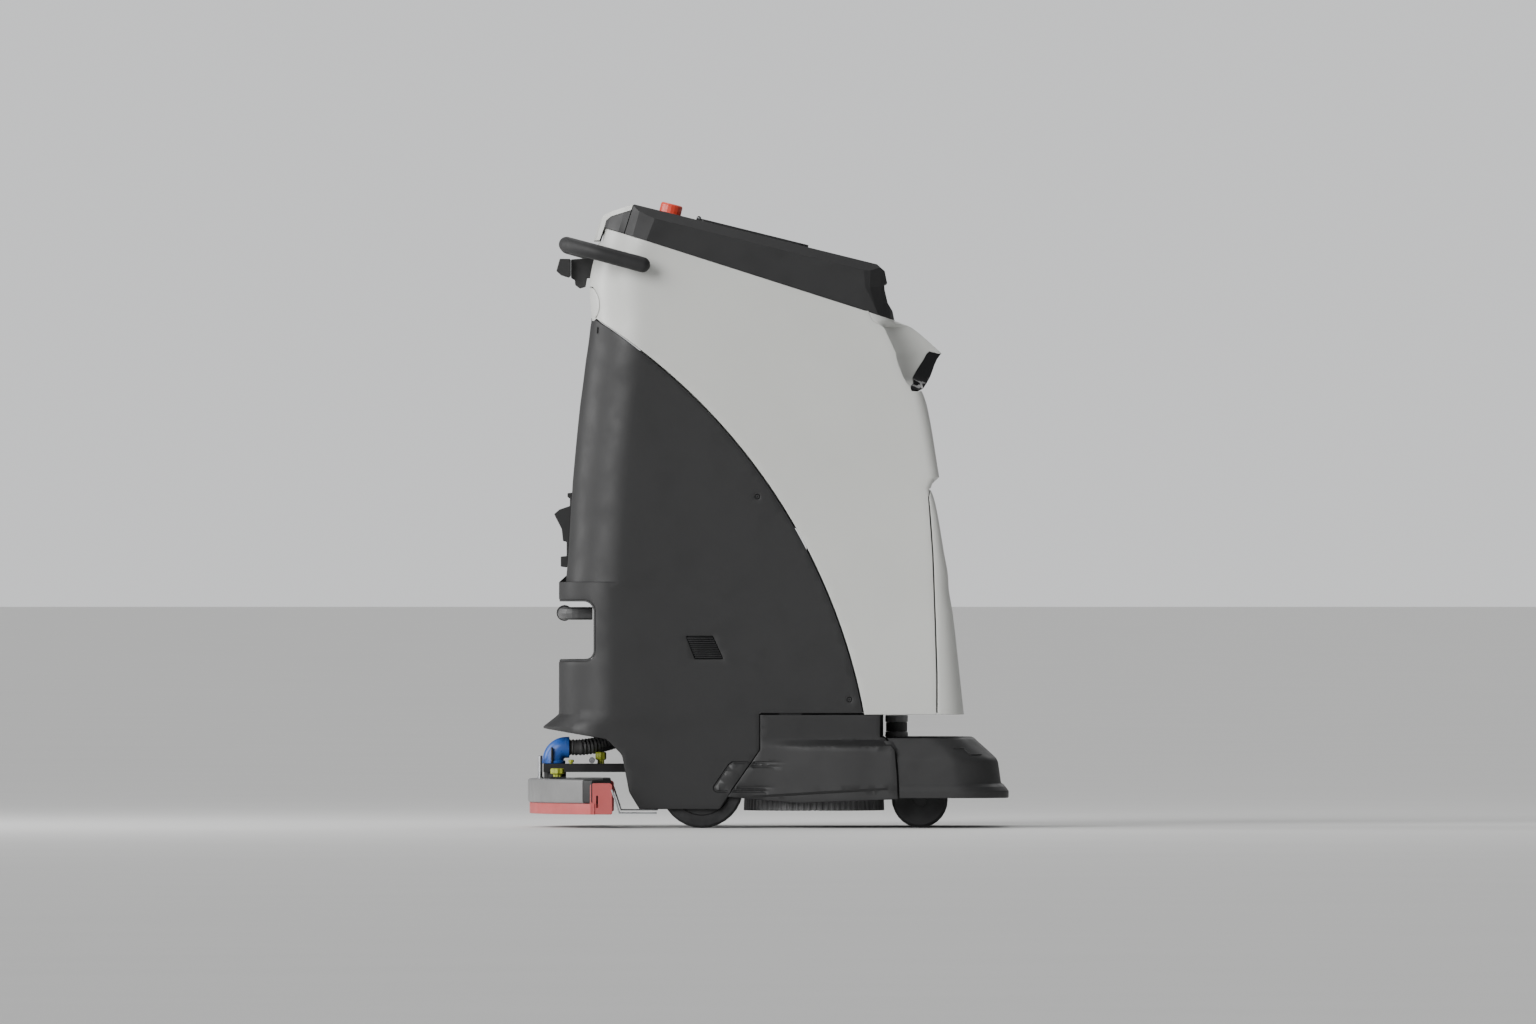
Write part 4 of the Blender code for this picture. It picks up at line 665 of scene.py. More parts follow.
def main_shell():
    groove = GROOVE_Z + SEAM / 2
    arc_up = arc_line(SEAM / 2, SKIRT_TOP)
    lamp_edge = lamp_loop(SEAM / 2)
    shoulder_z = TOP_Z - 0.025
    top_x = spans(HOOD_TOP)[2] - HOOD_SEAM
    top = [(column(shoulder_z, REAR) - 0.001, shoulder_z), (TOP_X - 0.0050, shoulder_z),
           (TOP_X - 0.0020, TOP_Z), (TOP_X, TOP_Z), (top_x, top_z(top_x) - 0.0002)]
    front_edge = dense([(FRONT_X + x - SEAM / 2, z) for x, z in FRONT_PANEL_EDGE])
    # These runs go clockwise, seen with u to the right and z up, so the loop is turned round.
    loop = closed(
        to_u(dense([(FRONT_X - 0.0488 - SEAM / 2, SKIRT_TOP), arc_up[0]])),
        to_u(dense(arc_up)),
        centre_line(arc_up[-1][1], lamp_edge[0][1], 0),
        lamp_edge,
        centre_line(lamp_edge[-1][1], shoulder_z, 0),
        to_u(dense(top)),
        crease_line(-HOOD_SEAM, HOOD_BASE, HOOD_TOP),
        dense([(spans(BROW_Z)[2], BROW_Z), (spans(BROW_Z)[4], BROW_Z)]),
        centre_line(BROW_Z, groove, 4),
        across_front((unroll_side(FRONT_X - 0.0607 - SEAM / 2, groove), groove)),
        to_u([(x, z) for x, z in front_edge if z < groove]),
    )
    panel("shell_panels", mirrored(panel_mesh(loop[::-1])), "shell_grey", "main_shell")


def front_panel():
    groove = GROOVE_Z - SEAM / 2
    edge = dense([(FRONT_X + x + SEAM / 2, z) for x, z in FRONT_PANEL_EDGE])
    edge = [(x, z) for x, z in edge if z < groove - 0.001]
    loop = closed(
        to_u(edge),
        dense([(unroll_side(edge[-1][0], SKIRT_TOP), SKIRT_TOP), (spans(SKIRT_TOP)[4], SKIRT_TOP)]),
        centre_line(SKIRT_TOP, groove, 4),
        across_front((unroll_side(edge[0][0], groove), groove)),
    )
    panel("front_door", mirrored(panel_mesh(loop)), "shell_grey", "front_panel")


def window_edge(offset):
    """The camera window's slanted side edge and top edge, up to the front."""
    corners = [(0.2556 + offset, HOOD_FOOT), (0.297 + offset, 0.8585 - offset / 2),
               (0.314 + offset, 0.8530 - offset), (0.402, 0.8480 - offset)]
    return to_u([(x, z) for x, z in dense(corners, 0.004) if x < column(z, FRONT)])


def hood():
    window = window_edge(0.0)
    ridge = [HOOD_START_X + HOOD_SEAM + (HOOD_END_X - HOOD_START_X) * k / 14 for k in range(15)]
    ridge = [(x, top_z(x) - 0.0004) for x in ridge]
    top = to_u([(x, z) for x, z in ridge if x < column(z, FRONT)])
    loop = closed(
        crease_line(HOOD_SEAM, HOOD_FOOT, HOOD_TOP - 0.0002),
        dense([(spans(HOOD_FOOT)[2] + HOOD_SEAM, HOOD_FOOT), window[0]], 0.004),
        window,
        across_front(window[-1])[::-1],
        centre_line(window[-1][1], top[-1][1], 4),
        across_front(top[-1]),
        top[::-1],
    )
    extra = []
    for z in (0.7905 + 0.0030 * k for k in range(45)):
        start, end = spans(z)[2:4]
        extra += [(start + (end - start) * k / 16, z + 0.0006) for k in range(17)]
    panel("hood_shell", mirrored(panel_mesh(loop, edge=0.0006, extra=extra)), "shell_grey", "sensor_hood")
    glass = window_edge(0.0008)
    loop = closed(
        across_front(glass[0])[::-1],
        centre_line(HOOD_FOOT, glass[-1][1], 4),
        across_front(glass[-1]),
        glass[::-1],
    )
    bm = mirrored(panel_mesh(loop, edge=0.0006, sink=0.0006))
    panel("window_glass", bm, "glass_black", "camera_window")


def lamp():
    edge = lamp_loop(-SEAM / 2)
    loop = closed(edge, centre_line(edge[-1][1], edge[0][1], 0))
    panel("rear_lamp_panel", mirrored(panel_mesh(loop, thickness=0.006)), "shell_grey", "rear_lamp")


# Grooves of the lower side: points (x, z), and where they start and end fading out along x.
GROOVES = (
    (((0.040, 0.1179), (-0.0640, 0.1179), (-0.0700, 0.1140), (-0.0972, 0.0738), (-0.0960, 0.0680),
      (-0.0900, 0.0657), (-0.005, 0.0657)), -0.030, 0.038),
    (((-0.0342, 0.1103), (0.0324, 0.1103)), -0.010, 0.030),
    (((-0.0612, 0.0729), (0.0180, 0.0729)), -0.030, 0.017),
)
GROOVE_HALF, GROOVE_DEEP = 0.0022, 0.0022


def smooth(value, low, high):
    t = min(1.0, max(0.0, (value - low) / (high - low)))
    return t * t * (3 - 2 * t)


def to_line(point, line):
    """Distance from a point to an open line."""
    best = 1.0
    for a, b in zip(line, line[1:]):
        ab, ap = Vector(b) - Vector(a), Vector(point) - Vector(a)
        t = min(1.0, max(0.0, ab.dot(ap) / ab.length_squared))
        best = min(best, (ap - ab * t).length)
    return best


def grooves(x, z):
    """Depth of the grooves, as a negative height."""
    if not (-0.11 < x < 0.06 and 0.05 < z < 0.13):
        return 0.0
    deep = 0.0
    for line, fade, end in GROOVES:
        away = to_line((x, z), line) / GROOVE_HALF
        if away < 1:
            deep = min(deep, -GROOVE_DEEP * (1 - away ** 4) * (1 - smooth(x, fade, end)))
    return deep


def groove_points():
    """Rows of points beside and along every groove."""
    points = []
    for line, _, _ in GROOVES:
        for a, b in zip(line, line[1:]):
            along = (Vector(b) - Vector(a)).normalized()
            across = Vector((-along.y, along.x))
            for x, z in dense([a, b], 0.004):
                for away in (-1.05, -0.85, -0.4, 0.0, 0.4, 0.85, 1.05):
                    points.append((x + across.x * away * GROOVE_HALF, z + across.y * away * GROOVE_HALF))
    return [point for k, point in enumerate(points)
            if all(math.dist(point, other) > 0.0006 for other in points[max(0, k - 60):k])]


def cover_relief(x, z):
    """The lower cover's flare towards the bumper, its sill and the grooves."""
    flare = 0.0255 * smooth(x, -0.06, 0.20) + 0.10 * max(0.0, x - 0.185)
    sill_z = 0.0567 + (x + 0.0612) * 0.0588
    sill = -0.0030 * (1 - smooth(z, sill_z - 0.0045, sill_z)) * smooth(x, -0.075, -0.02)
    return flare * (1 - smooth(z, 0.1440, 0.1610)) + sill + grooves(x, z)


def lower_covers():
    """Covers beside the brushes, flush with the casing above and flared to the bumper below."""
    top = SKIRT_TOP - 0.0003
    seam = ((-0.0153, top), COVER_SEAM[1], (COVER_SEAM[2][0] + 0.0004, COVER_SEAM[2][1]))
    seam = [(x + SEAM / 2, z) for x, z in seam]
    foot = (-0.0862 + SEAM / 2 + 0.012, 0.0560)
    front = [(bumper_end(z) - 0.003, z) for z in (0.0520, 0.0954, 0.1404, 0.1620)]
    outline = dense([foot, (0.056, 0.0450), *front, (0.2020, 0.1640), (0.2020, top), *seam, foot])[:-1]
    extra = groove_points()
    flare_rows = (0.1430, 0.1470, 0.1510, 0.1550, 0.1590, 0.1625)
    extra += [(-0.05 + 0.006 * k, z) for k in range(43) for z in flare_rows]
    extra += [(-0.05 + 0.006 * k, 0.0567 + (0.0112 + 0.006 * k) * 0.0588 + step)
              for k in range(45) for step in (-0.0046, -0.0023, 0.0001)]
    for side, name in SIDES:
        bm = panel_mesh(outline, relief=cover_relief, extra=extra)
        if side < 0:
            right_side(bm)
        panel("brush_cover_" + name, bm, "panel_dark", "lower_cover_" + name)


def seam_backing():
    """Dark strips behind the lower covers' front and rear joints."""
    bm = bmesh.new()
    levels = (0.0570, 0.0954, 0.1404, 0.1570)
    rear = [(-0.0213, 0.1300), (-0.0093, 0.1300), (-0.0093, 0.2030), (-0.0213, 0.2030)]
    front = [(bumper_end(z) - 0.0100, z) for z in levels]
    front += [(bumper_end(z) + 0.0030, z) for z in levels[::-1]]
    for side, _ in SIDES:
        for strip, out in ((rear, BODY_HALF - WALL - 0.0014), (front, 0.2885)):
            extrusion(bm, strip, side * out, side * out + 0.0010, radius=0.0003)
    piece("seam_backing", bm, "caster_grey")


COVER_SEAM = ((-0.0153, SKIRT_TOP + SEAM), (-0.0153, 0.1404), (-0.0594, 0.0774), (-0.0873, SKIRT_BOTTOM))
REAR_SPLIT = 0.150
VENT = ((-0.1476, 0.3456), (-0.0990, 0.3456), (-0.0801, 0.3042), (-0.1314, 0.3042))
SCREWS = ((-0.0189, 0.5967), (0.1467, 0.2313))


def shelf_line(grow):
    """The hose shelf's opening from its top rear corner round to its bottom rear corner."""
    top, bottom, front = SHELF_TOP + grow, SHELF_BOTTOM - grow, SHELF_FRONT_X + grow
    radius = SHELF_CORNER + grow
    return filleted(((-0.42, top, 0), (front, top, radius), (front, bottom, radius), (-0.42, bottom, 0)), 8)


def side_panels():
    """The dark sides, from the round joint down to the wheel arch and back round the rear corner."""
    split_y = REAR_SPLIT + SEAM / 2

    def past_split(line, ends=()):
        """The line unrolled and stopped at the joint with the rear cover; its ends can stay on the joint."""
        run = [(unroll_side(x, z), unroll_rear(split_y, z), z) for x, z in line]
        return [(max(u, limit), z) for k, (u, limit, z) in enumerate(run) if u > limit + 1e-4 or k in ends]

    arc_up = arc_line(-SEAM / 2, SKIRT_TOP + SEAM)
    shelf = dense(shelf_line(0.0033), 0.005)
    shelf = past_split(shelf, (0, len(shelf) - 1))
    arch = filleted(((-0.2315, SKIRT_BOTTOM, 0), (-0.2502, 0.0648, 0.02), (-0.2628, 0.1314, 0.02),
                     (-0.2900, 0.1597, 0.01), (REAR_X - FLARE - 0.01, SKIRT_TOP - 0.0235, 0)), 5)
    arch = past_split(dense(arch))
    rear = split_line(split_y, arc_up[-1][1] + 0.0004, shelf[0][1])
    loop = closed(
        to_u(dense(COVER_SEAM[::-1])),
        to_u(dense([COVER_SEAM[0], arc_up[0]])),
        to_u(dense(arc_up)),
        dense([to_u(arc_up)[-1], rear[0]]),
        rear,
        shelf,
        split_line(split_y, shelf[-1][1], arch[-1][1]),
        arch[::-1],
        to_u(dense([(-0.2315, SKIRT_BOTTOM), (-0.0873 - SEAM / 2, SKIRT_BOTTOM)])),
    )
    vent = filleted([(x, z, 0.0015) for x, z in VENT], 3)
    slit = filleted(((-0.3082, 0.9015, 0.0012), (-0.3054, 0.9020, 0.0012), (-0.3060, 0.8910, 0.0012),
                     (-0.3088, 0.8905, 0.0012)), 3)
    holes = [dense(vent + vent[:1])[:-1], *(arc(place, 0.0046, 0, 360, 20)[:-1] for place in SCREWS), slit]
    holes = [to_u(hole if signed_area(hole) > 0 else hole[::-1]) for hole in holes]
    for side, name in SIDES:
        bm = panel_mesh(loop, holes, relief=grooves, extra=groove_points())
        if side < 0:
            right_side(bm)
        panel("side_skin_" + name, bm, "panel_dark", "side_panel_" + name)


def rear_cover():
    """The door between the side panels and the foot below the hose shelf."""
    door_top = arc_line(-SEAM / 2, SKIRT_TOP + SEAM)[-1][1]
    for name, low, high in (("rear_door", SHELF_TOP + 0.0033, door_top),
                            ("rear_foot", SKIRT_TOP - 0.0226, SHELF_BOTTOM - 0.0033)):
        side = split_line(REAR_SPLIT - SEAM / 2, low, high)
        loop = closed(
            side,
            dense([side[-1], (spans(high)[0], high)]),
            centre_line(high, low, 0),
            dense([(spans(low)[0], low), side[0]]),
        )
        panel(name, mirrored(panel_mesh(loop)), "panel_dark", "rear_cover")


def shelf_liner():
    """The channel across the rear that holds the drain hose."""
    outline = shelf_line(0.0030) + shelf_line(0.0)[::-1]
    outline = [(max(x, column(z, REAR) + 0.0012), z) for x, z in outline]
    outline = dense(outline + outline[:1])[:-1]
    # Half the casing's width at each point, less a hair.
    reach = [surface(unroll_side(x, z), z).y - 0.0004 for x, z in outline]
    bm = bmesh.new()
    rings = []
    for share in (1.0, 0.8, 0.4, 0.0, -0.4, -0.8, -1.0):
        rings.append([bm.verts.new((x, y * share, z)) for (x, z), y in zip(outline, reach)])
    tube_faces(bm, rings)
    bmesh.ops.remove_doubles(bm, verts=bm.verts, dist=1e-5)
    piece("shelf_channel", bm, "panel_dark", replaced=["rear_cover"])


# ---------------------------------------------------------------- shaped pieces
def loop_faces(bm, first, second):
    count = len(first)
    for k in range(count):
        bm.faces.new((first[k], first[(k + 1) % count], second[(k + 1) % count], second[k]))


def strip_faces(bm, first, second):
    """Faces between two open rows of points."""
    for k in range(len(first) - 1):
        bm.faces.new((first[k], first[k + 1], second[k + 1], second[k]))


def tube_faces(bm, rings):
    """Faces from ring to ring, with a cap on both ends."""
    for first, second in zip(rings, rings[1:]):
        loop_faces(bm, first, second)
    bm.faces.new(rings[0])
    bm.faces.new(rings[-1][::-1])


def pin(radius, low, high, edge):
    """Profile of a plain round piece with chamfered rims, for lathe."""
    return [(0, low), (radius - edge, low), (radius, low + edge),
            (radius, high - edge), (radius - edge, high), (0, high)]


def tube_mesh(bm, route, radii, sides=24):
    """A closed round tube along a route, with one radius for each of its points."""
    points = [Vector(point) for point in route]
    up = None
    rings = []
    for k, point in enumerate(points):
        ahead = (points[min(k + 1, len(points) - 1)] - points[max(k - 1, 0)]).normalized()
        if up is None:
            up = ahead.orthogonal().normalized()
        up = (up - ahead * up.dot(ahead)).normalized()
        across = ahead.cross(up)
        rings.append([bm.verts.new(point + (up * math.cos(a) + across * math.sin(a)) * radii[k])
                      for a in (2 * math.pi * side / sides for side in range(sides))])
    tube_faces(bm, rings)


def even(points, step):
    """Points along a smooth curve through the given ones, at even distances."""
    points = [Vector(point) for point in points]
    fine = []
    for k in range(len(points) - 1):
        before, after = points[max(k - 1, 0)], points[min(k + 2, len(points) - 1)]
        a, b = points[k], points[k + 1]
        for t in (part / 12 for part in range(12)):
            fine.append(0.5 * (2 * a + (b - before) * t + (2 * before - 5 * a + 4 * b - after) * t * t
                               + (3 * a - before - 3 * b + after) * t ** 3))
    fine.append(points[-1])
    lengths = [0.0]
    for a, b in zip(fine, fine[1:]):
        lengths.append(lengths[-1] + (b - a).length)
    count = max(2, round(lengths[-1] / step))
    result, k = [], 0
    for part in range(count + 1):
        goal = lengths[-1] * part / count
        while k < len(fine) - 2 and lengths[k + 1] < goal:
            k += 1
        gap = lengths[k + 1] - lengths[k]
        result.append(fine[k].lerp(fine[k + 1], min(1.0, (goal - lengths[k]) / gap if gap else 0.0)))
    return result


def lathe(bm, profile, centre, axis, steps=40, lobes=0, depth=0.0):
    """A closed turned shape; profile points are (radius, distance along the axis), radius 0 at both ends."""
    turn = Vector(axis).to_track_quat("Z", "Y")
    rings = []
    for radius, along in profile[1:-1]:
        ring = []
        for k in range(steps):
            a = 2 * math.pi * k / steps
            r = radius - depth * (0.5 - 0.5 * math.cos(lobes * a)) if lobes else radius
            place = turn @ Vector((r * math.cos(a), r * math.sin(a), along))
            ring.append(bm.verts.new(Vector(centre) + place))
        rings.append(ring)
    for first, second in zip(rings, rings[1:]):
        loop_faces(bm, first, second)
    for ring, along in ((rings[0], profile[0][1]), (rings[-1], profile[-1][1])):
        tip = bm.verts.new(Vector(centre) + turn @ Vector((0, 0, along)))
        for k in range(steps):
            bm.faces.new((ring[k], ring[(k + 1) % steps], tip))


def block(bm, low, high, radius=0.0012, turn=None):
    """A rounded block between two corners, turned about its own centre if asked."""
    made = bmesh.ops.create_cube(bm, size=1.0)["verts"]
    size = Vector(high) - Vector(low)
    middle = (Vector(high) + Vector(low)) / 2
    for vert in made:
        vert.co = Vector(a * b for a, b in zip(vert.co, size))
    edges = list(dict.fromkeys(edge for vert in made for edge in vert.link_edges))
    made = bmesh.ops.bevel(bm, geom=edges, offset=radius, segments=3, profile=0.5, affect="EDGES")["verts"]
    for vert in made:
        vert.co = (turn @ vert.co if turn else vert.co) + middle


def extrusion(bm, outline, low, high, radius):
    """A flat (x, z) outline given thickness along y, with rounded rims."""
    steps = [(low, radius), (low + radius * 0.3, radius * 0.3), (low + radius, 0.0),
             (high - radius, 0.0), (high - radius * 0.3, radius * 0.3), (high, radius)]
    if signed_area(outline) < 0:
        outline = outline[::-1]
    rings = []
    for level, shrink in steps:
        shape = inset_loop(outline, [False] * len(outline), shrink) if shrink else outline
        rings.append([bm.verts.new((x, level, z)) for x, z in shape])
    tube_faces(bm, rings)


# ---------------------------------------------------------------- bumper
BUMPER_HALF, BUMPER_FRONT_X, BUMPER_CORNER = 0.300, 0.434, 0.090
BUMPER_TOP, BUMPER_BOTTOM = 0.162, 0.054
LIDAR_X, LIDAR_R = 0.2325, 0.0205
BUMPER_END = ((BUMPER_BOTTOM - 0.01, 0.2373), (0.0954, 0.2350), (0.1404, 0.2310), (BUMPER_TOP, 0.2140),
              (BUMPER_TOP + 0.02, 0.2095))


def bumper_end(z):
    """x of the joint with the lower side cover."""
    for (z0, x0), (z1, x1) in zip(BUMPER_END, BUMPER_END[1:]):
        if z <= z1:
            return x0 + (x1 - x0) * (z - z0) / (z1 - z0)
    return BUMPER_END[-1][1]


def bumper_line(z, back, inset):
    """Plan outline of the bumper at one height, from the left joint round the front to the right joint."""
    half = BUMPER_HALF - 0.30 * back - inset
    radius = BUMPER_CORNER - inset - 0.2 * back
    front = BUMPER_FRONT_X - back - inset
    start = bumper_end(z)
    left = [(start + (front - radius - start) * k / 6, half) for k in range(6)]
    left += [(front - radius * (1 - math.sin(a)), half - radius * (1 - math.cos(a)))
             for a in angles(0, 90, 18)]
    left += [(front, (half - radius) * (1 - k / 5)) for k in range(1, 5)]
    return left + [(front, 0.0)] + [(x, -y) for x, y in reversed(left)]


def bumper_rear(start, half):
    """Plan outline of the bumper's rear edge from left to right, with the lidar's notch in it."""
    room = LIDAR_R + 0.005
    reach = math.sqrt(room ** 2 - (start - LIDAR_X) ** 2)
    opening = math.atan2(reach, start - LIDAR_X)
    notch = [(LIDAR_X + room * math.cos(a), room * math.sin(a))
             for a in (opening - 2 * opening * step / 24 for step in range(25))]
    sides = [half - (half - reach) * k / 4 for k in (1, 2, 3)]
    return [(start, y) for y in sides] + notch + [(start, -y) for y in reversed(sides)]


def bumper():
    """The one-piece bumper skin: sloping face, lip round its foot and a flat deck with room for the lidar."""
    profile = filleted(((0.0630, BUMPER_TOP, 0.012), (0.0200, 0.1233, 0.020), (0.0137, 0.0800, 0.003),
                        (0.0060, 0.0745, 0.003), (0.0, 0.0664, 0.004), (0.0004, BUMPER_BOTTOM, 0.002),
                        (0.30, BUMPER_BOTTOM, 0), (0.30, BUMPER_TOP, 0)), 4)[:-2]
    profile = dense(profile, 0.012)
    levels = sorted((level for level in profile if level[1] < BUMPER_TOP - 1e-5), key=lambda level: level[1])
    levels = [level for k, level in enumerate(levels) if k == 0 or level[1] - levels[k - 1][1] > 1e-4]
    top_back = max(back for back, z in profile if z > BUMPER_TOP - 1e-4)
    top_back = max(top_back, levels[-1][0] + 0.004)
    bm = bmesh.new()

    def row(line, z):
        return [bm.verts.new((x, y, z)) for x, y in line]

    wall = [(row(bumper_line(z, back, 0.0), z), row(bumper_line(z, back, WALL), z))
            for back, z in levels if z <= BUMPER_TOP - WALL]
    for (outer_a, inner_a), (outer_b, inner_b) in zip(wall, wall[1:]):
        loop_faces(bm, outer_a + inner_a[::-1], outer_b + inner_b[::-1])
    strip_faces(bm, *wall[0])
    outer, inner = wall[-1]
    strips = [outer, *(row(bumper_line(z, back, 0.0), z) for back, z in levels if z > BUMPER_TOP - WALL)]
    strips.append(row(bumper_line(BUMPER_TOP, top_back, 0.0), BUMPER_TOP))
    for first, second in zip(strips, strips[1:]):
        strip_faces(bm, first, second)
    top = strips[-1]
    high, low = (row(bumper_rear(line[0].co.x, line[0].co.y), line[0].co.z) for line in (top, outer))
    bm.faces.new(top + high[::-1])
    bm.faces.new([outer[0], *inner, outer[-1], *low[::-1]])
    for end, upper, lower in ((0, high[0], low[0]), (-1, high[-1], low[-1])):
        bm.faces.new([outer[end], *(strip[end] for strip in strips[1:-1]), top[end], upper, lower])
    strip_faces(bm, low, high)
    piece("bumper_skin", bm, "bumper_grey", "bumper", ["front_bumper"], 28.0)
    slot = dense([(0.3330, 0.1440), (0.3520, 0.1440), (0.3645, 0.1325), (0.3850, 0.1325)], 0.003)
    for side, name in SIDES:
        bm = bmesh.new()
        route = [(x, side * (bumper_side(x, z) + 0.0003), z) for x, z in slot]
        tube_mesh(bm, route, [0.0006] + [0.0016] * (len(route) - 2) + [0.0006], 12)
        piece("bumper_rib_" + name, bm, "soft_black", "bumper")


def bumper_side(x, z):
    """How far out the bumper's sloping face is at this place."""
    back = 0.0200 + (z - 0.1233) * (0.0430 / 0.0387) if z > 0.1233 else 0.0137 + (z - 0.0800) * 0.1455
    half, radius = BUMPER_HALF - 0.30 * back, BUMPER_CORNER - 0.2 * back
    reach = max(0.0, (x - (BUMPER_FRONT_X - back - radius)) / radius)
    return half - radius * (1 - math.sqrt(max(0.0, 1 - reach * reach)))


def lidar():
    """The turning scanner: foot, window ring and head. Foot and head are lightened well past the scanner's own
    grey, as painted light for the shade under the casing; the window ring is casting grey in place of dark glass,
    also painted lighter.
    """
    edge, corner = 0.0016, 0.0005
    for name, low, high, radius, look in (("lidar_foot", 0.1623, 0.1720, LIDAR_R, "sensor_grey_painted_light"),
                                          ("lidar_window", 0.1722, 0.1890, LIDAR_R - 0.0012, "casting_grey"),
                                          ("lidar_head", 0.1892, 0.2018, LIDAR_R, "sensor_grey_painted_light")):
        bm = bmesh.new()
        profile = [(0, high), (radius - edge, high), (radius - corner, high - corner), (radius, high - edge),
                   (radius, low + edge), (radius - corner, low + corner), (radius - edge, low), (0, low)]
        lathe(bm, profile, (LIDAR_X, 0, 0), (0, 0, 1), 56)
        piece(name, bm, look, "lidar", ["lidar_rotor"])


# ---------------------------------------------------------------- squeegee
SQUEEGEE_R, SQUEEGEE_DEPTH, SQUEEGEE_TOP, SQUEEGEE_LOW = 0.540, 0.042, 0.0875, 0.0445
SQUEEGEE_CENTRE_X = -0.434 + SQUEEGEE_R
BLADE_LOW = 0.0247


def sweep_band(bm, section, y_from, y_to, steps=40):
    """Sweep a closed (radius, height) section round the squeegee's curve."""
    mid = SQUEEGEE_R - SQUEEGEE_DEPTH / 2
    rings = []
    for k in range(steps + 1):
        a = math.asin((y_from + (y_to - y_from) * k / steps) / mid)
        rings.append([bm.verts.new((SQUEEGEE_CENTRE_X - r * math.cos(a), r * math.sin(a), z))
                      for r, z in section])
    tube_faces(bm, rings)


def box_section(outer, inner, low, high, radius):
    corners = ((outer, low), (outer, high), (inner, high), (inner, low))
    return filleted([(r, z, radius) for r, z in corners], 4)


def squeegee():
    """The curved beam with its end blocks, the two blades, the flaps at the ends and their wire guides."""
    outer, inner = SQUEEGEE_R, SQUEEGEE_R - SQUEEGEE_DEPTH
    bm = bmesh.new()
    sweep_band(bm, box_section(outer, inner, SQUEEGEE_LOW, SQUEEGEE_TOP, 0.0045), -0.301, 0.301)
    piece("squeegee_beam", bm, "casting_grey", "squeegee", ["squeegee_body"])
    bm = bmesh.new()
    less = 0.0008
    section = box_section(outer - less, inner + less, SQUEEGEE_LOW + less / 2, SQUEEGEE_TOP - less, 0.0040)
    for side in (-1, 1):
        sweep_band(bm, section, side * 0.3022, side * 0.3215, 10)
    piece("squeegee_ends", bm, "panel_dark", "squeegee", ["squeegee_body"])
    for name, radius in (("rear_blade", outer - 0.003), ("front_blade", inner + 0.007)):
        bm = bmesh.new()
        section = box_section(radius, radius - 0.0035, BLADE_LOW, SQUEEGEE_LOW - 0.0003, 0.0009)
        sweep_band(bm, section, -0.324, 0.324, 48)
        piece(name + "_strip", bm, "blade_red", "squeegee", [name])
    blade_flaps()
    bm = bmesh.new()
    strip = dense([(-0.2792, 0.0700), (-0.2660, 0.0292), (-0.2000, 0.0292), (-0.2000, 0.0262),
                   (-0.2682, 0.0262), (-0.2826, 0.0700)], 0.02)
    for low, high in ((-0.3372, -0.3332), (0.3332, 0.3372)):
        extrusion(bm, strip, low, high, radius=0.0004)
    piece("side_guides", bm, "bright_steel", "squeegee")
    squeegee_fittings()


def blade_flaps():
    """The red flaps at the squeegee's ends, each with an upright slot."""
    slot_x, slot_z, slot_radius, slot_half = -0.3078, 0.0474, 0.0028, 0.0088
    foot = BLADE_LOW + 0.0002
    plate = filleted(((-0.3200, foot, 0.003), (-0.2800, foot, 0.003), (-0.2800, 0.0812, 0.006),
                      (-0.3200, 0.0812, 0.006)), 6)
    hole = []
    for x, z in plate:
        away = Vector((x - slot_x, z - slot_z)).normalized() * slot_radius
        hole.append((slot_x + away.x, slot_z + away.y + (slot_half if z > slot_z else -slot_half)))
    bm = bmesh.new()
    for side in (-1, 1):
        rings = []
        for y, shrink in ((0.3250, 0.0008), (0.3258, 0.0), (0.3322, 0.0), (0.3330, 0.0008)):
            shape = inset_loop(plate, [False] * len(plate), shrink) if shrink else plate
            rings.append(([bm.verts.new((x, side * y, z)) for x, z in shape],
                          [bm.verts.new((x, side * y, z)) for x, z in hole]))
        for (plate_a, hole_a), (plate_b, hole_b) in zip(rings, rings[1:]):
            loop_faces(bm, plate_a, plate_b)
            loop_faces(bm, hole_a, hole_b)
        for around, opening in (rings[0], rings[-1]):
            loop_faces(bm, around, opening)
    piece("blade_flaps", bm, "blade_red", "squeegee", ["rear_blade"], 25.0)


def knob(bm, x, y, low, radius, height):
    """A turning knob with eight lobes on a narrower foot."""
    levels = ((0.62, 0.0, 0.0), (0.62, 0.30, 0.0), (1.0, 0.34, -0.001), (1.0, 0.42, 0.0), (1.0, 0.90, 0.0),
              (1.0, 0.98, -0.0012), (1.0, 1.0, -0.0022))
    profile = [(radius * share + shift, low + height * rise) for share, rise, shift in levels]
    lathe(bm, [(0, low), *profile, (0, low + height)], (x, y, 0), (0, 0, 1), 48, lobes=8, depth=radius * 0.14)


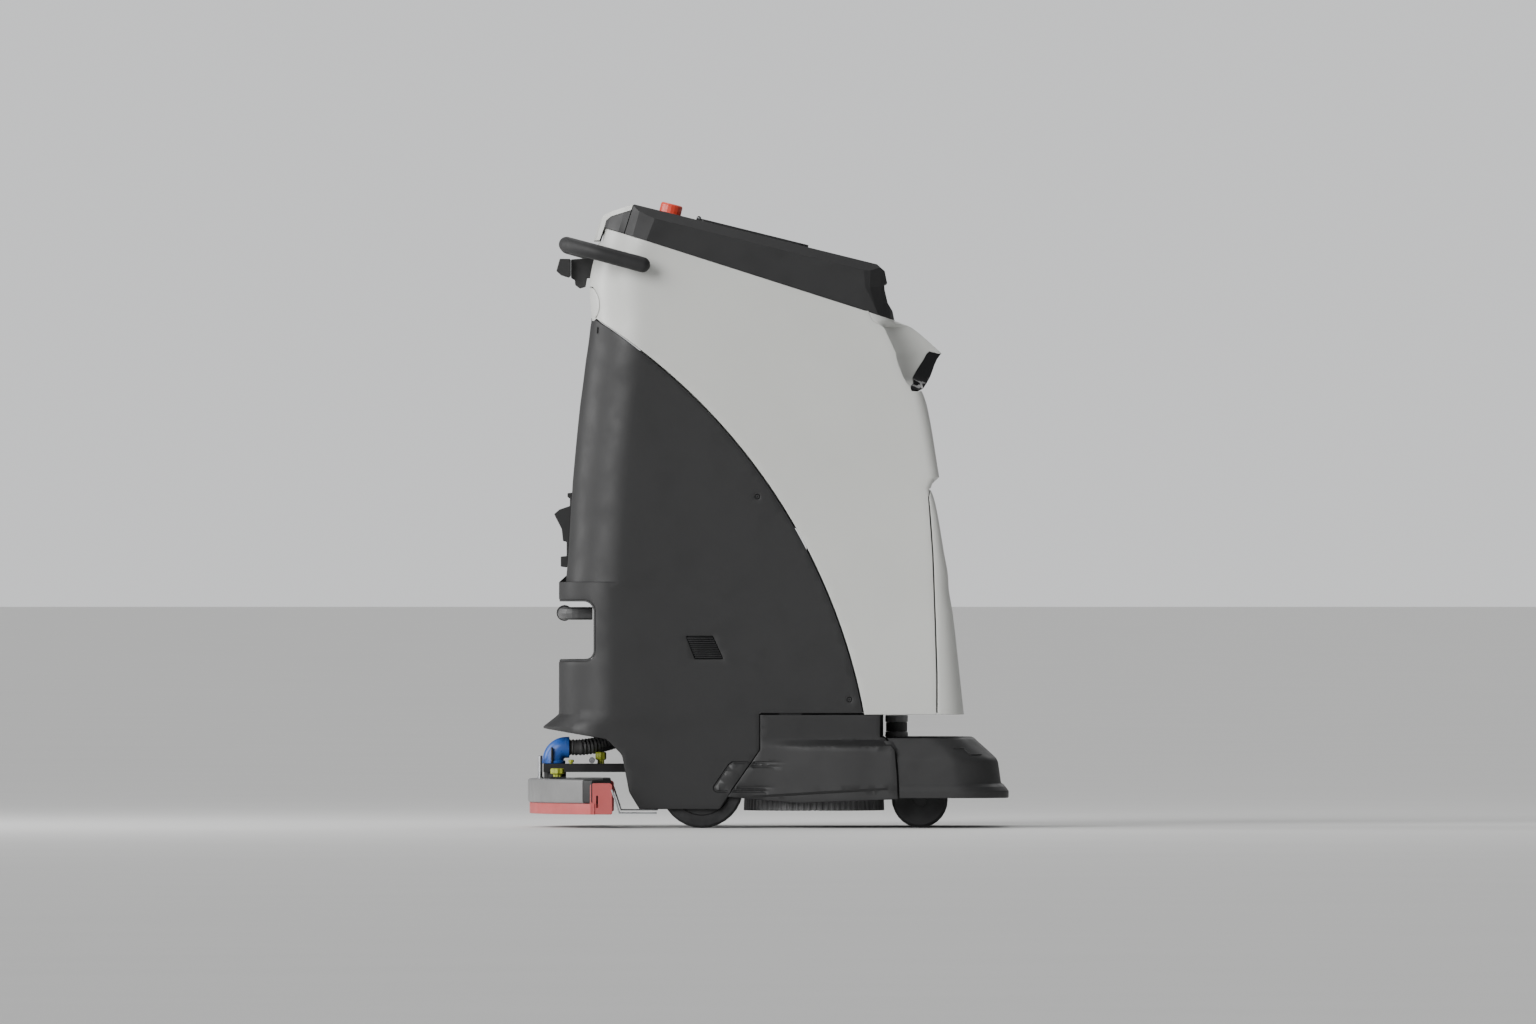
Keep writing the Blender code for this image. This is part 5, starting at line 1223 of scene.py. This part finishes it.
def squeegee_fittings():
    """The suction elbow with its clip, the hose, the knobs and the bolts on the squeegee's arm."""
    bm = bmesh.new()
    bend = [(-0.3885, 0, 0.1143), (-0.3885, 0, 0.1190)]
    bend += [(x, 0, z) for x, z in arc((-0.3650, 0.1200), 0.0235, 180, 90, 12)] + [(-0.3600, 0, 0.1435)]
    tube_mesh(bm, bend, [0.0190] * len(bend), 40)
    for centre, axis, radius, length in (((-0.3885, 0, 0.1143), (0, 0, 1), 0.0222, 0.0055),
                                         ((-0.3665, 0, 0.1435), (1, 0, 0), 0.0192, 0.0075)):
        lathe(bm, pin(radius, 0, length, 0.0008), centre, axis, 40)
    piece("elbow_bend", bm, "elbow_blue", "squeegee", ["suction_elbow"])
    bm = bmesh.new()
    for y in (-0.0245, 0.0185):
        block(bm, (-0.3925, y, 0.1150), (-0.3885, y + 0.0060, 0.1440))
    piece("elbow_clips", bm, "frame_steel", "squeegee")
    bm = bmesh.new()
    for y in (-0.022, 0.022):
        lathe(bm, [(0, 0.1285), (0.0030, 0.1285), (0.0040, 0.1275), (0.0040, 0.0905), (0.0058, 0.0900),
                   (0.0058, 0.0878), (0, 0.0878)], (-0.4118, y, 0), (0, 0, 1), 24)
    lathe(bm, pin(0.0054, -0.020, 0.020, 0.0006), (-0.3182, 0, 0.1202), (0, 1, 0), 28)
    piece("arm_fixings", bm, "bright_steel", "squeegee")
    bm = bmesh.new()
    knob(bm, -0.3022, 0.0, 0.1142, 0.0100, 0.0210)
    for side in (-1, 1):
        knob(bm, -0.3560, side * 0.0285, 0.1142, 0.0050, 0.0070)
    piece("arm_knobs", bm, "knob_lime", "squeegee")
    for side, name in SIDES:
        bm = bmesh.new()
        knob(bm, -0.380, side * 0.100, 0.0911, 0.0126, 0.0150)
        piece("lobed_knob_" + name, bm, "knob_lime", "knob_" + name, ["squeegee_knob_" + name])
    route = [(-0.3590, 0, 0.1435), (-0.3490, 0, 0.1435), (-0.3400, 0, 0.1435), (-0.3150, 0.011, 0.1465),
             (-0.2870, 0.032, 0.1530), (-0.2600, 0.055, 0.1630), (-0.2400, 0.070, 0.1750),
             (-0.2300, 0.076, 0.1860), (-0.2280, 0.077, 0.1957), (-0.2280, 0.077, 0.2017),
             (-0.2280, 0.077, 0.2077)]
    points = even(route, 0.0016)
    radii = [0.0150 - 0.0022 * (0.5 - 0.5 * math.cos(2 * math.pi * k / 4)) for k in range(len(points))]
    bm = bmesh.new()
    tube_mesh(bm, points, radii, 32)
    hose = piece("suction_bellows", bm, "hose_black", None, ["suction_hose"], 60.0)
    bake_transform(hose)


# ---------------------------------------------------------------- handle, screws, vents and brushes
def push_handle():
    """The bar round the rear of the machine, its rounded ends and the bosses that hold it."""
    front, back, corner, slope, radius = -0.2124, -0.363, 0.070, 0.27, 0.014
    arm_y = half_width(HANDLE_LEVEL) + 0.015 + radius
    plan = [(front, arm_y), (-0.250, arm_y), (back + corner, arm_y)]
    plan += [(back + corner * (1 - math.sin(a)), arm_y - corner * (1 - math.cos(a)))
             for a in angles(0, 90, 14)[1:]]
    plan += [(back, y) for y in (0.15, 0.08)]
    route = [Vector((x, y, HANDLE_LEVEL + slope * (front - x))) for x, y in plan]
    route += [Vector((back, 0.0, HANDLE_LEVEL + slope * (front - back)))]
    route += [Vector((x, -y, z)) for x, y, z in reversed(route[:-1])]
    cap = angles(0, 90, 6)[:-1]
    ahead = (route[0] - route[1]).normalized() * radius
    start = [route[0] - ahead * (1 - math.cos(a)) for a in cap]
    end = [route[-1] - ahead * (1 - math.cos(a)) for a in cap[::-1]]
    sizes = [max(0.0015, radius * math.sin(a)) for a in cap]
    inner = [route[0] - ahead, *route[1:-1], route[-1] - ahead]
    bm = bmesh.new()
    tube_mesh(bm, start + inner + end, sizes + [radius] * len(inner) + sizes[::-1], 32)
    boss_x = front - 0.016
    boss_z = HANDLE_LEVEL + slope * (front - boss_x)
    boss = [(0, 0), (0.0125, 0), (0.0130, 0.0006), (0.0115, 0.004), (0.0100, 0.007), (0.0100, 0.024),
            (0, 0.024)]
    for side in (-1, 1):
        lathe(bm, boss, (boss_x, side * (half_width(boss_z) - 0.0004), boss_z), (0, side, 0), 32)
    piece("handle_bar", bm, "handle_black", "body", ["push_handle"])


def side_details():
    """Recessed screws and the slats of the vents, on both sides."""
    bm = bmesh.new()
    screw = [(0, -0.0024), (0.0012, -0.0024), (0.0016, -0.0012), (0.0034, -0.0012), (0.0041, -0.0018),
             (0.0041, -0.0044), (0, -0.0044)]
    for side, _ in SIDES:
        for x, z in SCREWS:
            lathe(bm, screw, (x, side * surface(unroll_side(x, z), z).y, z), (0, side, 0), 24)
    piece("panel_screws", bm, "caster_grey")
    count, slat_top, slat_span = 10, 0.3440, 0.0382
    back = [(-0.1468, 0.3450), (-0.0996, 0.3450), (-0.0808, 0.3048), (-0.1310, 0.3048)]
    for side, name in SIDES:
        bm = bmesh.new()
        for share in ((k + 0.5) / count for k in range(count)):
            z = slat_top - slat_span * share
            low, high = (VENT[a][0] + (VENT[b][0] - VENT[a][0]) * share for a, b in ((0, 3), (1, 2)))
            y = side * (half_width(z) - 0.0024)
            block(bm, (low + 0.0006, y - 0.0015, z - 0.0009), (high - 0.0006, y + 0.0015, z + 0.0009), 0.0004,
                  Matrix.Rotation(side * math.radians(-28), 3, "X"))
        deep = half_width(0.32) - 0.0052
        extrusion(bm, back, *sorted((side * deep, side * (deep - 0.0012))), radius=0.0003)
        piece("vent_slats_" + name, bm, "caster_grey", "body", ["vent_grille_" + name])


def brushes():
    """The bristle rings, as tufts standing side by side: two of every four columns are set back."""
    columns = 288
    profile = ((0.1255, 0.0578), (0.1262, 0.0480), (0.1268, 0.0310), (0.1210, 0.0308), (0.0500, 0.0308),
               (0.0520, 0.0578))
    for side, name in SIDES:
        bm = bmesh.new()
        centre = Vector((0.083, side * 0.130, 0.0))
        rings = []
        for radius, z in profile:
            ring = []
            for k in range(columns):
                a = 2 * math.pi * k / columns
                back = k % 4 in (2, 3)
                r = radius - (0.0022 if back and radius > 0.1 else 0.0)
                low = z + (0.0012 if back and z < 0.04 else 0.0)
                ring.append(bm.verts.new(centre + Vector((r * math.cos(a), r * math.sin(a), low))))
            rings.append(ring)
        for first, second in zip(rings, rings[1:] + rings[:1]):
            loop_faces(bm, first, second)
        piece("bristle_tufts_" + name, bm, "bristle_grey", "brush_" + name, ["bristles_" + name],
              25.0)


# ---------------------------------------------------------------- stage
def aimed(name, data, direction):
    """Link a light that shines in a direction."""
    obj = link(name, data)
    obj.rotation_euler = Vector(direction).to_track_quat("-Z", "Y").to_euler()
    return obj


def stage():
    """A pale floor with soft studio light, and the camera square to the machine's right side."""
    floor = bpy.data.meshes.new("floor")
    floor.from_pydata([(-300, -300, 0), (300, -300, 0), (300, 300, 0), (-300, 300, 0)], [], [(0, 1, 2, 3)])
    floor.materials.append(Look("floor", (0.78, 0.78, 0.77), 0.6).vary(1.5, 0.02).material)
    link("floor", floor)
    # The world lights the machine dimly, and shows the camera a pale background.
    world = bpy.data.worlds.new("studio")
    world.use_nodes = True
    tree = world.node_tree
    tree.nodes["Background"].inputs["Color"].default_value = (0.90, 0.91, 0.92, 1.0)
    seen = tree.nodes.new("ShaderNodeLightPath").outputs["Is Camera Ray"]
    strength = tree.nodes.new("ShaderNodeMapRange")
    strength.inputs["To Min"].default_value = 0.21
    strength.inputs["To Max"].default_value = 0.95
    tree.links.new(seen, strength.inputs["Value"])
    tree.links.new(strength.outputs["Result"], tree.nodes["Background"].inputs["Strength"])
    bpy.context.scene.world = world
    for name, place, size, watts, target in (
        ("rear_rim", (-3.2, 0.4, 1.7), (0.8, 2.4), 66.0, (-0.2, 0.0, 0.6)),
        ("top", (-0.4, 0.2, 3.6), (2.2, 2.2), 24.0, (0.0, 0.0, 0.6)),
    ):
        light = bpy.data.lights.new(name, "AREA")
        light.shape = "RECTANGLE"
        light.size, light.size_y = size
        light.energy = watts
        aimed(name, light, Vector(target) - Vector(place)).location = place
    for name, direction, power, spread in (("key", (0.85, 1.0, -0.52), 3.0, 34.0),
                                           ("back", (-0.3, -1.0, -0.9), 0.7, 50.0)):
        sun = bpy.data.lights.new(name, "SUN")
        sun.energy, sun.angle = power, math.radians(spread)
        aimed(name, sun, direction)
    # A long lens far away, so that the near and the far side are drawn almost to one scale.
    camera = bpy.data.cameras.new("camera")
    camera.lens = 781.2
    camera.sensor_width = 36.0
    camera.clip_end = 200.0
    eye = link("camera", camera)
    eye.location = (0.0, -60.27, 0.569)
    eye.rotation_euler = (math.pi / 2, 0.0, 0.0)
    bpy.context.scene.camera = eye


def main():
    stage()
    for name, look, bevel in KEPT:
        names = [name.replace("*", side) for _, side in SIDES] if "*" in name else [name]
        for node in names:
            finish_node(node, look, bevel)
    for build in (main_shell, front_panel, hood, lamp, side_panels, rear_cover, shelf_liner, lower_covers,
                  seam_backing, bumper, lidar, squeegee, push_handle, side_details, brushes):
        build()


main()
